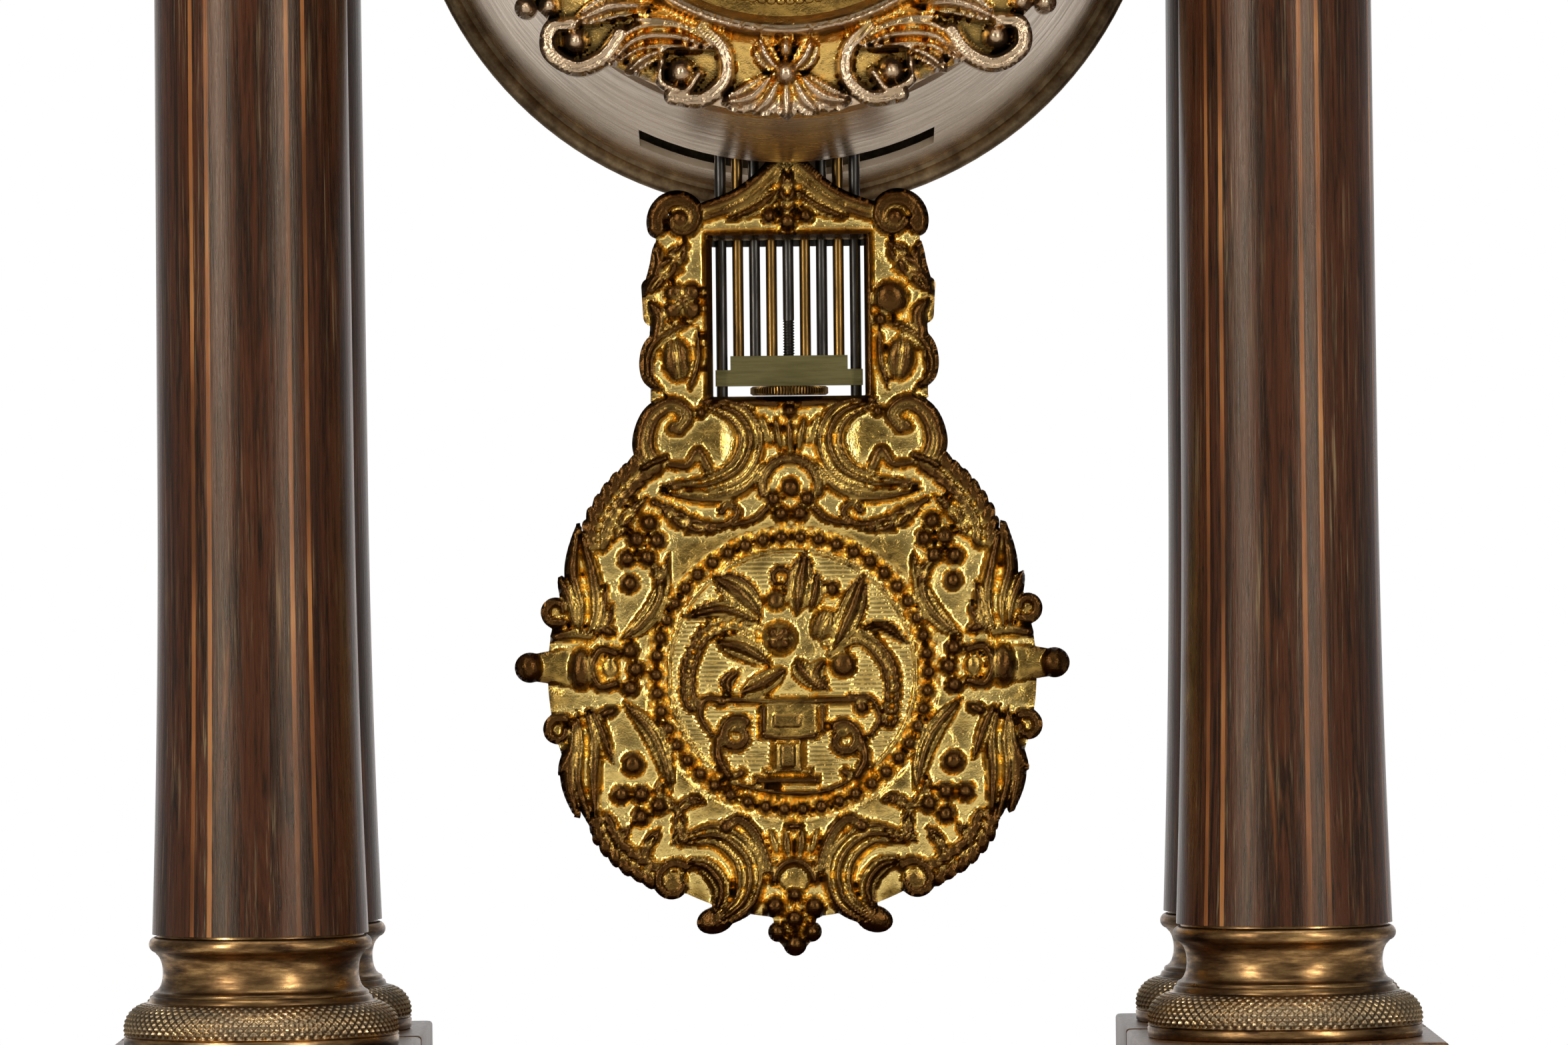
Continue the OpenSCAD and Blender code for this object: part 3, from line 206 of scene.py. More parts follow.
def rosewood(name, along, dark, mid, light, strings=None, rubs=0.35, gloss=0.26):
    """French polished rosewood: brown with near black figure, fine pores, and streaks rubbed pale.

    along is the grain's direction. strings(tree, point) gives 1 where a light string is let in.
    """
    made, tree, point = start_finish(name)

    def drawn_out(across, length):
        """Mapping scale of a pattern that is this many millimetres across and along the grain."""
        return per_mm(*(length if axis == along else across for axis in "XYZ"))

    figure_at = add(tree, "Mapping", {"Vector": point, "Scale": drawn_out(2.6, 62)})
    figure = add(tree, "TexNoise", {"Vector": figure_at[0], "Scale": 1.0, "Detail": 7.0,
                                    "Roughness": 0.62, "Distortion": 0.55})
    tone = add(tree, "ValToRGB", {"Fac": figure["Fac"]},
               [(0.30, dark), (0.46, mid), (0.58, dark), (0.74, light)])
    pore_at = add(tree, "Mapping", {"Vector": point, "Scale": drawn_out(0.55, 9)})
    pores = add(tree, "TexNoise", {"Vector": pore_at[0], "Scale": 1.0, "Detail": 3.0,
                                   "Roughness": 0.7})
    pore_dark = add(tree, "MapRange", {"Value": pores["Fac"], "From Min": 0.34, "From Max": 0.47,
                                       "To Min": 0.42, "To Max": 1.0})
    grained = add(tree, "Mix", {0: 1.0, 6: tone["Color"], 7: pore_dark[0]},
                  data_type="RGBA", blend_type="MULTIPLY")
    streak_at = add(tree, "Mapping", {"Vector": point, "Scale": drawn_out(0.55, 26)})
    streaks = add(tree, "TexNoise", {"Vector": streak_at[0], "Scale": 1.0, "Detail": 5.0,
                                     "Roughness": 0.7})
    streak = add(tree, "MapRange", {"Value": streaks["Fac"], "From Min": 0.55, "From Max": 0.7,
                                    "To Min": 0.0, "To Max": rubs})
    patch_at = add(tree, "Mapping", {"Vector": point, "Scale": per_mm(8, 8, 34)})
    patchy = add(tree, "TexNoise", {"Vector": patch_at[0], "Scale": 1.0, "Detail": 3.0})
    where = add(tree, "MapRange", {"Value": patchy["Fac"], "From Min": 0.42, "From Max": 0.66})
    rubbed = add(tree, "Math", {0: streak[0], 1: where[0]}, operation="MULTIPLY")
    wood = add(tree, "Mix", {0: rubbed[0], 6: grained[2], 7: colour("#a58a63")}, data_type="RGBA")
    if strings:
        inlay = add(tree, "ValToRGB", {"Fac": patchy["Fac"]},
                    [(0.36, "#5c3419"), (0.52, "#854f29"), (0.75, "#b57a44")])
        wood = add(tree, "Mix", {0: strings(tree, point), 6: wood[2], 7: inlay["Color"]},
                   data_type="RGBA")
    rough = add(tree, "MapRange", {"Value": streaks["Fac"], "From Min": 0.32, "From Max": 0.68,
                                   "To Min": gloss, "To Max": gloss + 0.16})
    relief = add(tree, "Math", {0: pores["Fac"], 1: 0.5, 2: streaks["Fac"]}, operation="MULTIPLY_ADD")
    bump = add(tree, "Bump", {"Height": relief[0], "Strength": 0.3, "Distance": 0.14 * MM})
    return end_finish(made, Base_Color=wood[2], Roughness=rough[0], Normal=bump[0],
                      Specular_IOR_Level=0.46, Specular_Tint=colour("#f3dcc2"))


def off_pair(tree, value, middle, gap):
    """How far a value is from the nearer of two lines: | |value - middle| - gap / 2 |."""
    off = add(tree, "Math", {0: value, 1: -middle}, operation="ADD")
    apart = add(tree, "Math", {0: off[0]}, operation="ABSOLUTE")
    near = add(tree, "Math", {0: apart[0], 1: -gap / 2}, operation="ADD")
    return add(tree, "Math", {0: near[0]}, operation="ABSOLUTE")[0]


def framed_strings(low, high, inset):
    """A pair of strings round each face of a box, inset from its edges: the distance from the nearest
    edge on a face is the lesser of the way to the corner and the way to the top or bottom."""
    half = (high - low) / 2 * MM
    mid = (high + low) / 2 * MM

    def strings(tree, point):
        local = add(tree, "Mapping", {"Vector": point, "Location": list(-mid)})
        size = add(tree, "VectorMath", {0: local[0]}, operation="ABSOLUTE")
        way = add(tree, "VectorMath", {0: list(half), 1: size[0]}, operation="SUBTRACT")
        axes = add(tree, "SeparateXYZ", {0: way[0]})
        side = add(tree, "Math", {0: axes[0], 1: axes[1]}, operation="MAXIMUM")
        edge = add(tree, "Math", {0: side[0], 1: axes[2]}, operation="MINIMUM")
        line = off_pair(tree, edge[0], inset * MM, FRAME_GAP * MM)
        return add(tree, "MapRange", {"Value": line, "From Min": (FRAME_STRING_W / 2 - 0.05) * MM,
                                      "From Max": (FRAME_STRING_W / 2 + 0.05) * MM,
                                      "To Min": 1.0, "To Max": 0.0})[0]
    return strings


def eased(height, ease):
    """Profile of a straight side as (inset, height) points, both edges eased to a quarter round."""
    return np.vstack([arc((ease, ease), ease, 270, 180, EASE_STEPS),
                      arc((ease, height - ease), ease, 180, 90, EASE_STEPS)])


def capped(skin):
    """A grid whose rows are rings, and its faces with a flat end at the first and the last ring."""
    rows, columns = skin.shape[:2]
    ring = np.arange(columns)
    ends = [ring[::-1].tolist(), (ring + (rows - 1) * columns).tolist()]
    return skin, grid_faces(rows, columns).tolist() + ends


def block(name, low, high, profile, finish, nodes, slot, corner=0.9, body="case"):
    """A profile of (inset, height) carried round a rectangle with eased corners, its ends flat."""
    profile = np.asarray(profile, float)
    a = np.radians([np.linspace(q, q + 90, EASE_STEPS) for q in (0, 90, 180, 270)]).ravel()
    sx = np.repeat([1, -1, -1, 1], EASE_STEPS)
    sy = np.repeat([1, 1, -1, -1], EASE_STEPS)
    mid = (np.array(low) + high) / 2
    half = (np.array(high) - low) / 2
    inset = profile[:, 0][:, None]
    x = mid[0] + sx * (half[0] - corner - inset) + corner * np.cos(a)
    y = mid[1] + sy * (half[1] - corner - inset) + corner * np.sin(a)
    z = low[2] + profile[:, 1][:, None] + 0 * a
    put(name, *capped(np.stack([x, y, z], axis=-1)), finish, body, nodes, slot)


skirt_low, skirt_high = box_mm("base_moulding")
skirt_h = skirt_high[2] - skirt_low[2]
block_low, block_high = box_mm("base_block")
skirt_ledge = skirt_high[0] - block_high[0] - 2
veneer = ("#221006", "#5a3016", "#82502a")
skirt_wood = rosewood("rosewood_moulding_polished", "X", *veneer)
block("base_skirt", skirt_low, skirt_high, np.vstack([
    arc((0.5, 0.5), 0.5, 270, 180, 4), [[0, 2.6]],
    arc((skirt_ledge - 0.5, 3), (skirt_ledge - 0.5, skirt_h - 4), 180, 90, 16),
    [[skirt_ledge, skirt_h - 0.9], [skirt_ledge, skirt_h]]]),
      skirt_wood, ["base_moulding"], "rosewood_veneer")
block("base_veneered_block", block_low, block_high, eased(block_high[2] - block_low[2], 0.4),
      rosewood("rosewood_veneer_strung", "X", *veneer,
               strings=framed_strings(block_low, block_high, 5.2)),
      ["base_block"], "rosewood_veneer")
board_low, board_high = box_mm("base_top_board")
board_h = board_high[2] - board_low[2]
board_wood = rosewood("rosewood_board_polished", "X", "#2a1409", "#663819", "#8c5830")
block("base_half_round_board", board_low, board_high, np.vstack([
    [[2, 0]], arc((2, board_h / 2), (2, board_h / 2 - 0.8), 270, 90, 17),
    [[2.6, board_h - 0.7], [2.8, board_h]]]),
      board_wood, ["base_top_board"], "rosewood_veneer")

# Column plinths
# Four square blocks with vertical grain, glued to the board in pairs with a narrow gap between them.
# Their polish has rubbed thin in pale streaks.
plinths_high = box_mm("column_plinths")[1]
column_x = 90.0
plinth_w = 2 * (plinths_high[0] - column_x)
column_y = plinths_high[1] - plinth_w / 2
CORNERS = {"front_left": (-1, -1), "front_right": (1, -1),
           "rear_left": (-1, 1), "rear_right": (1, 1)}
plinth_wood = rosewood("rosewood_plinth_rubbed", "Z", "#34200f", "#6b4829", "#936b43", rubs=0.6)


def at_corners(node, width):
    """Name, lowest and highest corner of the square solid of a node at each column."""
    low, high = box_mm(node)
    for place, (sx, sy) in CORNERS.items():
        mid = np.array([sx * column_x, sy * column_y])
        yield place, np.append(mid - width / 2, low[2]), np.append(mid + width / 2, high[2])


for place, low, high in at_corners("column_plinths", plinth_w):
    block("plinth_" + place, low, high, eased(high[2] - low[2], 0.7), plinth_wood,
          ["column_plinths"], "rosewood_veneer", 0.7)

# Column bases and capitals
# Turned brass rings threaded on the tie rods: a knurled torus, a fillet, a hollow and a plain ring.
# The knurling is rolled in diamonds. Painted shade darkens its grooves and a band round the fillet,
# and a painted highlight makes the tips of the diamonds pale.
KNURL_N = 88
KNURL_DEEP = 0.55
KNURL_ROWS = 9.0
CELL_STEPS = 6
TORUS_R = 24.3
TURNED_H = 20.0
FILLET_Z = 9.4
TIE_BORE_R = 3.2


def aged_brass():
    """Turned brass gone brown, coppery gold in streaks round the turning; painted shade darkens the
    knurl grooves and a band round the fillet, a painted highlight lightens the knurl tips.
    """
    made, tree, point = start_finish("aged_turned_brass")
    mottle_at = add(tree, "Mapping", {"Vector": point, "Scale": per_mm(9, 9, 1.6)})
    mottle = add(tree, "TexNoise", {"Vector": mottle_at[0], "Scale": 1.0, "Detail": 6.0,
                                    "Roughness": 0.65})
    tone = add(tree, "ValToRGB", {"Fac": mottle["Fac"]},
               [(0.34, "#3d2b1b"), (0.5, "#80603c"), (0.68, "#c89e66")])
    # Painted shade: the deep mark darkens the knurl grooves and a band round the fillet.
    deep = add(tree, "Attribute", attribute_name="deep")
    painted_shade = add(tree, "MapRange", {"Value": deep["Fac"], "To Min": 0.0, "To Max": 0.7})
    brown = add(tree, "Mix", {0: painted_shade[0], 6: tone["Color"], 7: colour("#2c1e10")}, data_type="RGBA")
    # Painted highlight: the pale mark lightens the tips of the knurl diamonds.
    painted_tip_highlight = add(tree, "Attribute", attribute_name="pale")
    brown = add(tree, "Mix", {0: painted_tip_highlight["Fac"], 6: brown[2], 7: colour("#c9b693")}, data_type="RGBA")
    speck = add(tree, "TexNoise", {"Vector": point, "Scale": 1 / (0.9 * MM), "Detail": 2.0})
    rough = add(tree, "MapRange", {"Value": mottle["Fac"], "From Min": 0.3, "From Max": 0.7,
                                   "To Min": 0.42, "To Max": 0.22})
    bump = add(tree, "Bump", {"Height": speck["Fac"], "Strength": 0.12, "Distance": 0.1 * MM})
    return end_finish(made, Base_Color=brown[2], Metallic=1.0, Roughness=rough[0], Normal=bump[0])


def diamonds(turn, run):
    """Height 0 to 1 of rolled knurling: the lower of two crossing rows of ridges, one each way.

    turn and run are counted in cells round and across the torus."""
    slant = [1 - np.abs(2 * np.mod(turn + s * run, 1) - 1) for s in (1, -1)]
    return np.minimum(*slant)


def turned_ring(neck_r):
    """Profile from the bottom band up to the ring under the shaft, as (radius, height) points.

    With it, for each point, go 1 where it is knurled and the run along the knurled arc in cells."""
    lower = np.array([[TIE_BORE_R, 0], [TORUS_R - 0.5, 0], [TORUS_R - 0.2, 0.3], [TORUS_R - 0.1, 1.8],
                      [TORUS_R - 0.4, 2.1]])
    torus = arc((TORUS_R - 4.6, 3.4), 4.6, -14, 82, 48)
    hollow = np.vstack([
        [[neck_r + 0.7, 8.15], [neck_r + 0.45, 8.9]],
        arc((neck_r - 0.6, FILLET_Z), 0.6, -20, 80, 6),
        arc((neck_r - 0.3, 13.3), (1.5, 3.3), 255, 108, 20),
        arc((neck_r - 0.8, 18.2), 1.4, -75, 88, 18),
        [[neck_r - 0.8, TURNED_H], [TIE_BORE_R, TURNED_H]]])
    count = [len(lower), len(torus), len(hollow)]
    knurl = np.repeat([0.0, 1.0, 0.0], count)
    run = np.repeat([0.0, 0.0, KNURL_ROWS], count)
    run[knurl > 0] = np.linspace(0, KNURL_ROWS, len(torus))
    return np.vstack([lower, torus, hollow]), knurl, run


def knurled_ring(profile, knurl, run, centre, foot, up):
    """Turns the profile and sinks the grooves: radius less the depth times one minus the diamond."""
    turns = KNURL_N * CELL_STEPS
    skin = lathe(profile, (0, 0), turns)
    cell = np.arange(turns)[None, :] / CELL_STEPS
    ease = np.clip(np.minimum(run, KNURL_ROWS - run) / 0.35, 0, 1) * knurl
    groove = ease[:, None] * (1 - diamonds(cell, run[:, None] / 2 + 0 * cell))
    shrink = 1 - KNURL_DEEP * groove / np.hypot(skin[..., 0], skin[..., 1])
    skin[..., :2] = skin[..., :2] * shrink[..., None] + centre
    skin[..., 2] = foot + up * skin[..., 2]
    # Painted shade marks a band round the fillet and the knurl grooves; a painted highlight marks the
    # diamond tips pale.
    hollow = np.exp(-((profile[:, 1] - FILLET_Z) / 1.5) ** 2)[:, None] * 0.7 + 0 * cell
    pale = 0.75 * ease[:, None] * (1 - groove)
    return skin, {"deep": np.maximum(groove ** 3, hollow), "pale": pale}


def hooped(skin):
    """A grid whose rows are rings, and its faces with the last ring joined to the first."""
    return skin, grid_faces(*skin.shape[:2], ring_rows=True)


old_brass = aged_brass()
shaft_low, shaft_high = box_mm("column_shaft_fl")
shaft_foot_r = (shaft_high[0] - shaft_low[0]) / 2
shaft_top_r = 16.6
for node, neck, foot, up in (
        ("column_bases", shaft_foot_r, box_mm("column_bases")[0][2], 1),
        ("column_capitals", shaft_top_r + 1.2, box_mm("column_capitals")[1][2], -1)):
    ring = turned_ring(neck)
    for place, (sx, sy) in CORNERS.items():
        skin, marks = knurled_ring(*ring, (sx * column_x, sy * column_y), foot, up)
        put(f"knurled_{node[7:-1]}_{place}", *hooped(skin), old_brass, "case", [node], "aged_brass",
            marks=marks, sharp=50)

# Column shafts
# Turned rosewood, swelling towards the foot, with six pairs of light strings let in along each one.
# The polish is rubbed in fine streaks along the grain; a bore on the axis takes the tie rod.
SHAFT_H = shaft_high[2] - shaft_low[2]
SHAFT_MID_R = 17.6
FLARE_H = 80.0
SHAFT_TURNS = 144
PAIR_TURN = 60.0
PAIR_GAP = 11.0
PAIR_FIRST = -37.0
PAIR_IN = 6.5
STRING_W = 0.85


def shaft_strings(tree, point):
    """Strings by the angle round the shaft, which the UV map's first number gives in turns.

    Noise makes their edges wander by up to a quarter of their width."""
    uv = add(tree, "UVMap", uv_map="UVMap")
    turn = add(tree, "SeparateXYZ", {0: uv[0]})
    pair = add(tree, "Math", {0: turn[0], 1: 360 / PAIR_TURN, 2: -PAIR_FIRST / PAIR_TURN + 0.5},
               operation="MULTIPLY_ADD")
    part = add(tree, "Math", {0: pair[0]}, operation="FRACT")
    line = off_pair(tree, part[0], 0.5, PAIR_GAP / PAIR_TURN)
    half = STRING_W / 2 / (2 * math.pi * SHAFT_MID_R) * 360 / PAIR_TURN
    wander = add(tree, "TexNoise", {"Vector": point, "Scale": 1 / (6 * MM), "Detail": 3.0})
    edge = add(tree, "Math", {0: wander["Fac"], 1: half * 0.5, 2: line}, operation="MULTIPLY_ADD")
    return add(tree, "MapRange", {"Value": edge[0], "From Min": half * 1.12, "From Max": half * 1.38,
                                  "To Min": 0.92, "To Max": 0.0})[0]


def shaft_radius(z):
    """Straight taper from the middle radius to the top, with a square-law flare over the foot."""
    taper = shaft_top_r + (SHAFT_MID_R - shaft_top_r) * (1 - z / SHAFT_H)
    return taper + (shaft_foot_r - SHAFT_MID_R) * np.clip(1 - z / FLARE_H, 0, 1) ** 2


shaft_wood = rosewood("rosewood_shaft_worn", "Z", "#1b0c06", "#452312", "#653a20", shaft_strings,
                      rubs=0.5, gloss=0.2)
shaft_z = np.concatenate([[0, 0.001], np.linspace(0.3, FLARE_H, 28),
                          np.linspace(FLARE_H + 8, SHAFT_H, 22), [SHAFT_H]])
shaft_profile = np.stack([shaft_radius(shaft_z), shaft_z], axis=-1)
shaft_profile[[0, -1], 0] = TIE_BORE_R
for place, (sx, sy) in CORNERS.items():
    node = "column_shaft_" + "".join(word[0] for word in place.split("_"))
    skin = lathe(shaft_profile, (sx * column_x, sy * column_y), SHAFT_TURNS)
    skin[..., 2] += shaft_low[2]
    step = np.arange(SHAFT_TURNS)[None, :, None] + np.array([0, 1, 1, 0])
    row = np.arange(len(shaft_z))[:, None, None] + np.array([0, 0, 1, 1])
    height = np.append(shaft_z, 0)[row]
    turn = np.mod(step / SHAFT_TURNS + 0.25, 1.0) + 0 * height
    turn = np.where(turn < turn[:, :, :1] - 0.5, turn + 1, turn)
    uv = np.stack([turn + sx * PAIR_IN / 360, height / SHAFT_H + 0 * turn], axis=-1)
    put("shaft_" + place, *hooped(skin), shaft_wood, "case", [node], "rosewood_dark",
        uv=uv.reshape(-1, 2))

# Entablature
# Abacus blocks on the capitals carry an architrave, a strung frieze, a hollow cornice and a top slab.
# All are veneered rosewood, glued up as one box and held down by the nuts of the tie rods.
CORNICE_REACH = 10.0
abacus_w = 2 * (box_mm("column_abaci")[1][0] - column_x)
for place, low, high in at_corners("column_abaci", abacus_w):
    block("abacus_" + place, low, high, eased(high[2] - low[2], 0.7), plinth_wood,
          ["column_abaci"], "rosewood_veneer", 0.7)
low, high = box_mm("architrave")
rise = high[2] - low[2]
block("architrave_stepped", low, high, np.vstack([
    arc((0.4, 0.4), 0.4, 270, 180, 4), arc((0.4, rise - 3.4), 0.4, 180, 90, 4),
    [[2, rise - 3], [2, rise]]]), board_wood, ["architrave"], "rosewood_veneer")
low, high = box_mm("frieze")
block("frieze_veneered", low, high, eased(high[2] - low[2], 0.4),
      rosewood("rosewood_frieze_strung", "X", *veneer, strings=framed_strings(low, high, 7.5)),
      ["frieze"], "rosewood_veneer")
low, high = box_mm("cornice")
rise = high[2] - low[2]
block("cornice_hollow", low, high, np.vstack([
    [[CORNICE_REACH, 0], [CORNICE_REACH, 1.6]],
    arc((CORNICE_REACH - 0.6, 2.2), 0.6, -90, 90, 5),
    arc((0.5, 3), (CORNICE_REACH - 0.5, rise - 7), 0, 90, 18),
    [[0.25, rise - 4], [0, rise - 3.6]], arc((0.5, rise - 0.5), 0.5, 180, 90, 4)]),
      skirt_wood, ["cornice"], "rosewood_veneer")
low, high = box_mm("top_slab")
rise = high[2] - low[2]
block("slab_top", low, high, np.vstack([
    arc((0.4, 0.4), 0.4, 270, 180, 4), [[0, rise * 0.4]],
    arc((4, rise * 0.4), (4, rise * 0.6), 180, 90, 12)]),
      board_wood, ["top_slab"], "rosewood_veneer")

# Drum
# A spun brass drum, silvered and brushed round its axis, hangs from the architrave by a saddle.
# A slot in its belly lets the pendulum through; a dark bronze rim and a hinged door close the rear.


def brushed_drum():
    """Silvered brass brushed round the axis: warm pale rings along Y, with dull yellow patches."""
    made, tree, point = start_finish("silvered_brass_brushed")
    ring_at = add(tree, "Mapping", {"Vector": point, "Scale": per_mm(16, 1.4, 16)})
    rings = add(tree, "TexNoise", {"Vector": ring_at[0], "Scale": 1.0, "Detail": 4.0,
                                   "Roughness": 0.7})
    blot_at = add(tree, "Mapping", {"Vector": point, "Scale": per_mm(16, 9, 16)})
    blots = add(tree, "TexNoise", {"Vector": blot_at[0], "Scale": 1.0, "Detail": 5.0,
                                   "Roughness": 0.6})
    silver = add(tree, "ValToRGB", {"Fac": rings["Fac"]},
                 [(0.3, "#c0a486"), (0.5, "#dcc1a2"), (0.7, "#f2dabd")])
    patch = add(tree, "MapRange", {"Value": blots["Fac"], "From Min": 0.45, "From Max": 0.8,
                                   "To Min": 0.0, "To Max": 0.45})
    tone = add(tree, "Mix", {0: patch[0], 6: silver["Color"], 7: colour("#8a7350")}, data_type="RGBA")
    rough = add(tree, "MapRange", {"Value": rings["Fac"], "From Min": 0.3, "From Max": 0.7,
                                   "To Min": 0.36, "To Max": 0.2})
    bump = add(tree, "Bump", {"Height": rings["Fac"], "Strength": 0.35, "Distance": 0.08 * MM})
    return end_finish(made, Base_Color=tone[2], Metallic=1.0, Roughness=rough[0], Normal=bump[0])


def patinated_bronze():
    """Bronze darkened with liver of sulphur: brown, with paler rubbed spots."""
    made, tree, point = start_finish("dark_patinated_bronze")
    spots = add(tree, "TexNoise", {"Vector": point, "Scale": 1 / (4 * MM), "Detail": 6.0,
                                   "Roughness": 0.7})
    tone = add(tree, "ValToRGB", {"Fac": spots["Fac"]},
               [(0.35, "#5e4c38"), (0.55, "#8a7558"), (0.75, "#b59e7a")])
    rough = add(tree, "MapRange", {"Value": spots["Fac"], "To Min": 0.34, "To Max": 0.6})
    bump = add(tree, "Bump", {"Height": spots["Fac"], "Strength": 0.15, "Distance": 0.15 * MM})
    return end_finish(made, Base_Color=tone["Color"], Metallic=1.0, Roughness=rough[0],
                      Normal=bump[0])


def dress(finish, *nodes):
    """A CAD node whose shape is right keeps its mesh and takes this finish."""
    for name in nodes:
        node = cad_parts[name]
        node.data.materials.clear()
        node.data.materials.append(finish)


dress(brushed_drum(), "drum_shell", "rear_door")
dress(patinated_bronze(), "drum_rear_rim")
dress(old_brass, "door_knob")

# Movement
# Two brass plates on turned pillars hold the going and striking trains; their arbors are steel.
# Wheels are cut and crossed out by hand, the bell is cast bell metal on a brass post.


def machined(name, dark, pale, grain, rough):
    """A turned, drawn or filed metal: two close tones in grains, the gloss changing with them."""
    made, tree, point = start_finish(name)
    cut_at = add(tree, "Mapping", {"Vector": point, "Scale": per_mm(*grain)})
    cuts = add(tree, "TexNoise", {"Vector": cut_at[0], "Scale": 1.0, "Detail": 5.0,
                                  "Roughness": 0.65})
    tone = add(tree, "ValToRGB", {"Fac": cuts["Fac"]}, [(0.32, dark), (0.68, pale)])
    shine = add(tree, "MapRange", {"Value": cuts["Fac"], "From Min": 0.3, "From Max": 0.7,
                                   "To Min": rough + 0.1, "To Max": rough - 0.06})
    bump = add(tree, "Bump", {"Height": cuts["Fac"], "Strength": 0.12, "Distance": 0.08 * MM})
    return end_finish(made, Base_Color=tone["Color"], Metallic=1.0, Roughness=shine[0],
                      Normal=bump[0])


plate_brass = machined("polished_movement_brass", "#a0823f", "#d0b065", (6, 6, 1.2), 0.26)
dark_steel = machined("drawn_steel_tarnished", "#252321", "#55514c", (0.8, 0.8, 9), 0.34)
dress(plate_brass, "movement_posts", "front_plate", "back_plate", "plate_pillars",
      "suspension_cock", "bell_post", "cannon_pinion", "hour_wheel", "minute_wheel", "going_barrel",
      "intermediate_wheel", "centre_wheel", "third_wheel", "escape_wheel", "strike_barrel",
      "strike_pin_wheel", "strike_fly")
dress(dark_steel, "going_arbor", "strike_arbor", "anchor", "hammer", "saddle_screws", "tie_rods",
      "tie_rod_nuts", "suspension_spring")
dress(machined("filed_brass_saddle", "#58431f", "#94743c", (2.4, 2.4, 2.4), 0.4), "drum_saddle")
dress(machined("cast_bell_metal", "#6f6a55", "#a19a7c", (20, 0.6, 20), 0.3), "bell")

# Dial
# A white enamel disc with black numerals fired on, held by three feet in the front plate.
# Hands are pierced blued steel; the glass is a flat disc in the bezel.


def fired_enamel():
    """Vitreous enamel: warm white, glossy, with the slight cloudiness and ripple of firing."""
    made, tree, point = start_finish("white_fired_enamel")
    cloud = add(tree, "TexNoise", {"Vector": point, "Scale": 1 / (14 * MM), "Detail": 4.0})
    tone = add(tree, "ValToRGB", {"Fac": cloud["Fac"]}, [(0.3, "#e4ddcb"), (0.7, "#f2eee2")])
    ripple = add(tree, "TexNoise", {"Vector": point, "Scale": 1 / (5 * MM), "Detail": 2.0})
    bump = add(tree, "Bump", {"Height": ripple["Fac"], "Strength": 0.06, "Distance": 0.1 * MM})
    return end_finish(made, Base_Color=tone["Color"], Roughness=0.12, Normal=bump[0])


def blued_steel():
    """Steel heated to blue: nearly black in shade, deep blue where it catches light."""
    made, tree, point = start_finish("heat_blued_steel")
    heat = add(tree, "TexNoise", {"Vector": point, "Scale": 1 / (6 * MM), "Detail": 3.0})
    tone = add(tree, "ValToRGB", {"Fac": heat["Fac"]}, [(0.35, "#10151f"), (0.7, "#26344f")])
    return end_finish(made, Base_Color=tone["Color"], Metallic=1.0, Roughness=0.28)


def clear_glass():
    """Flat drawn glass, clear with the faintest ripple."""
    made, tree, point = start_finish("clear_drawn_glass")
    ripple = add(tree, "TexNoise", {"Vector": point, "Scale": 1 / (18 * MM), "Detail": 1.0})
    bump = add(tree, "Bump", {"Height": ripple["Fac"], "Strength": 0.02, "Distance": 0.1 * MM})
    return end_finish(made, Base_Color=colour("#f8fbfa"), Roughness=0.0, IOR=1.5,
                      Transmission_Weight=1.0, Normal=bump[0])


def black_fired():
    """Black enamel paint fired on: flat black, a little grey where it is thin."""
    made, tree, point = start_finish("black_fired_numerals")
    thin = add(tree, "TexNoise", {"Vector": point, "Scale": 1 / (2 * MM), "Detail": 3.0})
    tone = add(tree, "ValToRGB", {"Fac": thin["Fac"]}, [(0.4, "#0d0c0c"), (0.75, "#2b2826")])
    return end_finish(made, Base_Color=tone["Color"], Roughness=0.3)


dress(fired_enamel(), "dial")
dress(blued_steel(), "hour_hand", "minute_hand")
dress(clear_glass(), "bezel_glass")
dial_low, dial_high = box_mm("dial")
drum_x = (dial_low[0] + dial_high[0]) / 2
drum_z = (dial_low[2] + dial_high[2]) / 2
dial_face_y = dial_low[1]
NUMERAL_R = 27.6
NUMERAL_H = 6.4
MINUTE_R = 32.6
MINUTE_H = 1.2
INK = 0.04


def bar(x0, z0, x1, z1, w):
    """A straight stroke w wide, as the four corners of a rectangle from one point to another."""
    along = np.array([x1 - x0, z1 - z0])
    across = np.array([-along[1], along[0]]) / np.hypot(*along) * w / 2
    a, b = np.array([x0, z0]), np.array([x1, z1])
    return np.array([a - across, b - across, b + across, a + across])


def roman(text, height):
    """Strokes of a Roman number in a serif hand: thick stems, thin diagonals and fine serifs."""
    strokes, x = [], 0.0
    thick, thin = height * 0.15, height * 0.05
    for mark in text:
        half = height * (0.16 if mark == "I" else 0.31)
        x += half
        foot = half * (0.62 if mark == "X" else 0)
        if mark == "I":
            strokes.append(bar(x, 0, x, height, thick))
        else:
            strokes += [bar(x - half * 0.62, height, x + foot, 0, thick),
                        bar(x + half * 0.62, height, x - foot, 0, thin)]
        for z in (0.02 * height, 0.98 * height):
            strokes.append(bar(x - half * 0.92, z, x + half * 0.92, z, thin))
        x += half
    return [s - [x / 2, height / 2] for s in strokes]


def prisms(outlines):
    """Closed prisms on the dial: each outline at the face, and again an ink's depth before it."""
    points, faces = [], []
    for outline in outlines:
        n, first = len(outline), sum(len(p) for p in points)
        front = np.column_stack([outline[:, 0] + drum_x, np.full(n, dial_face_y - INK),
                                 outline[:, 1] + drum_z])
        points += [front, front + [0, INK, 0]]
        ring = first + np.arange(n)
        after = np.roll(ring, -1)
        faces += [ring.tolist(), (ring + n)[::-1].tolist()]
        faces += np.column_stack([ring, ring + n, after + n, after]).tolist()
    return np.vstack(points), faces


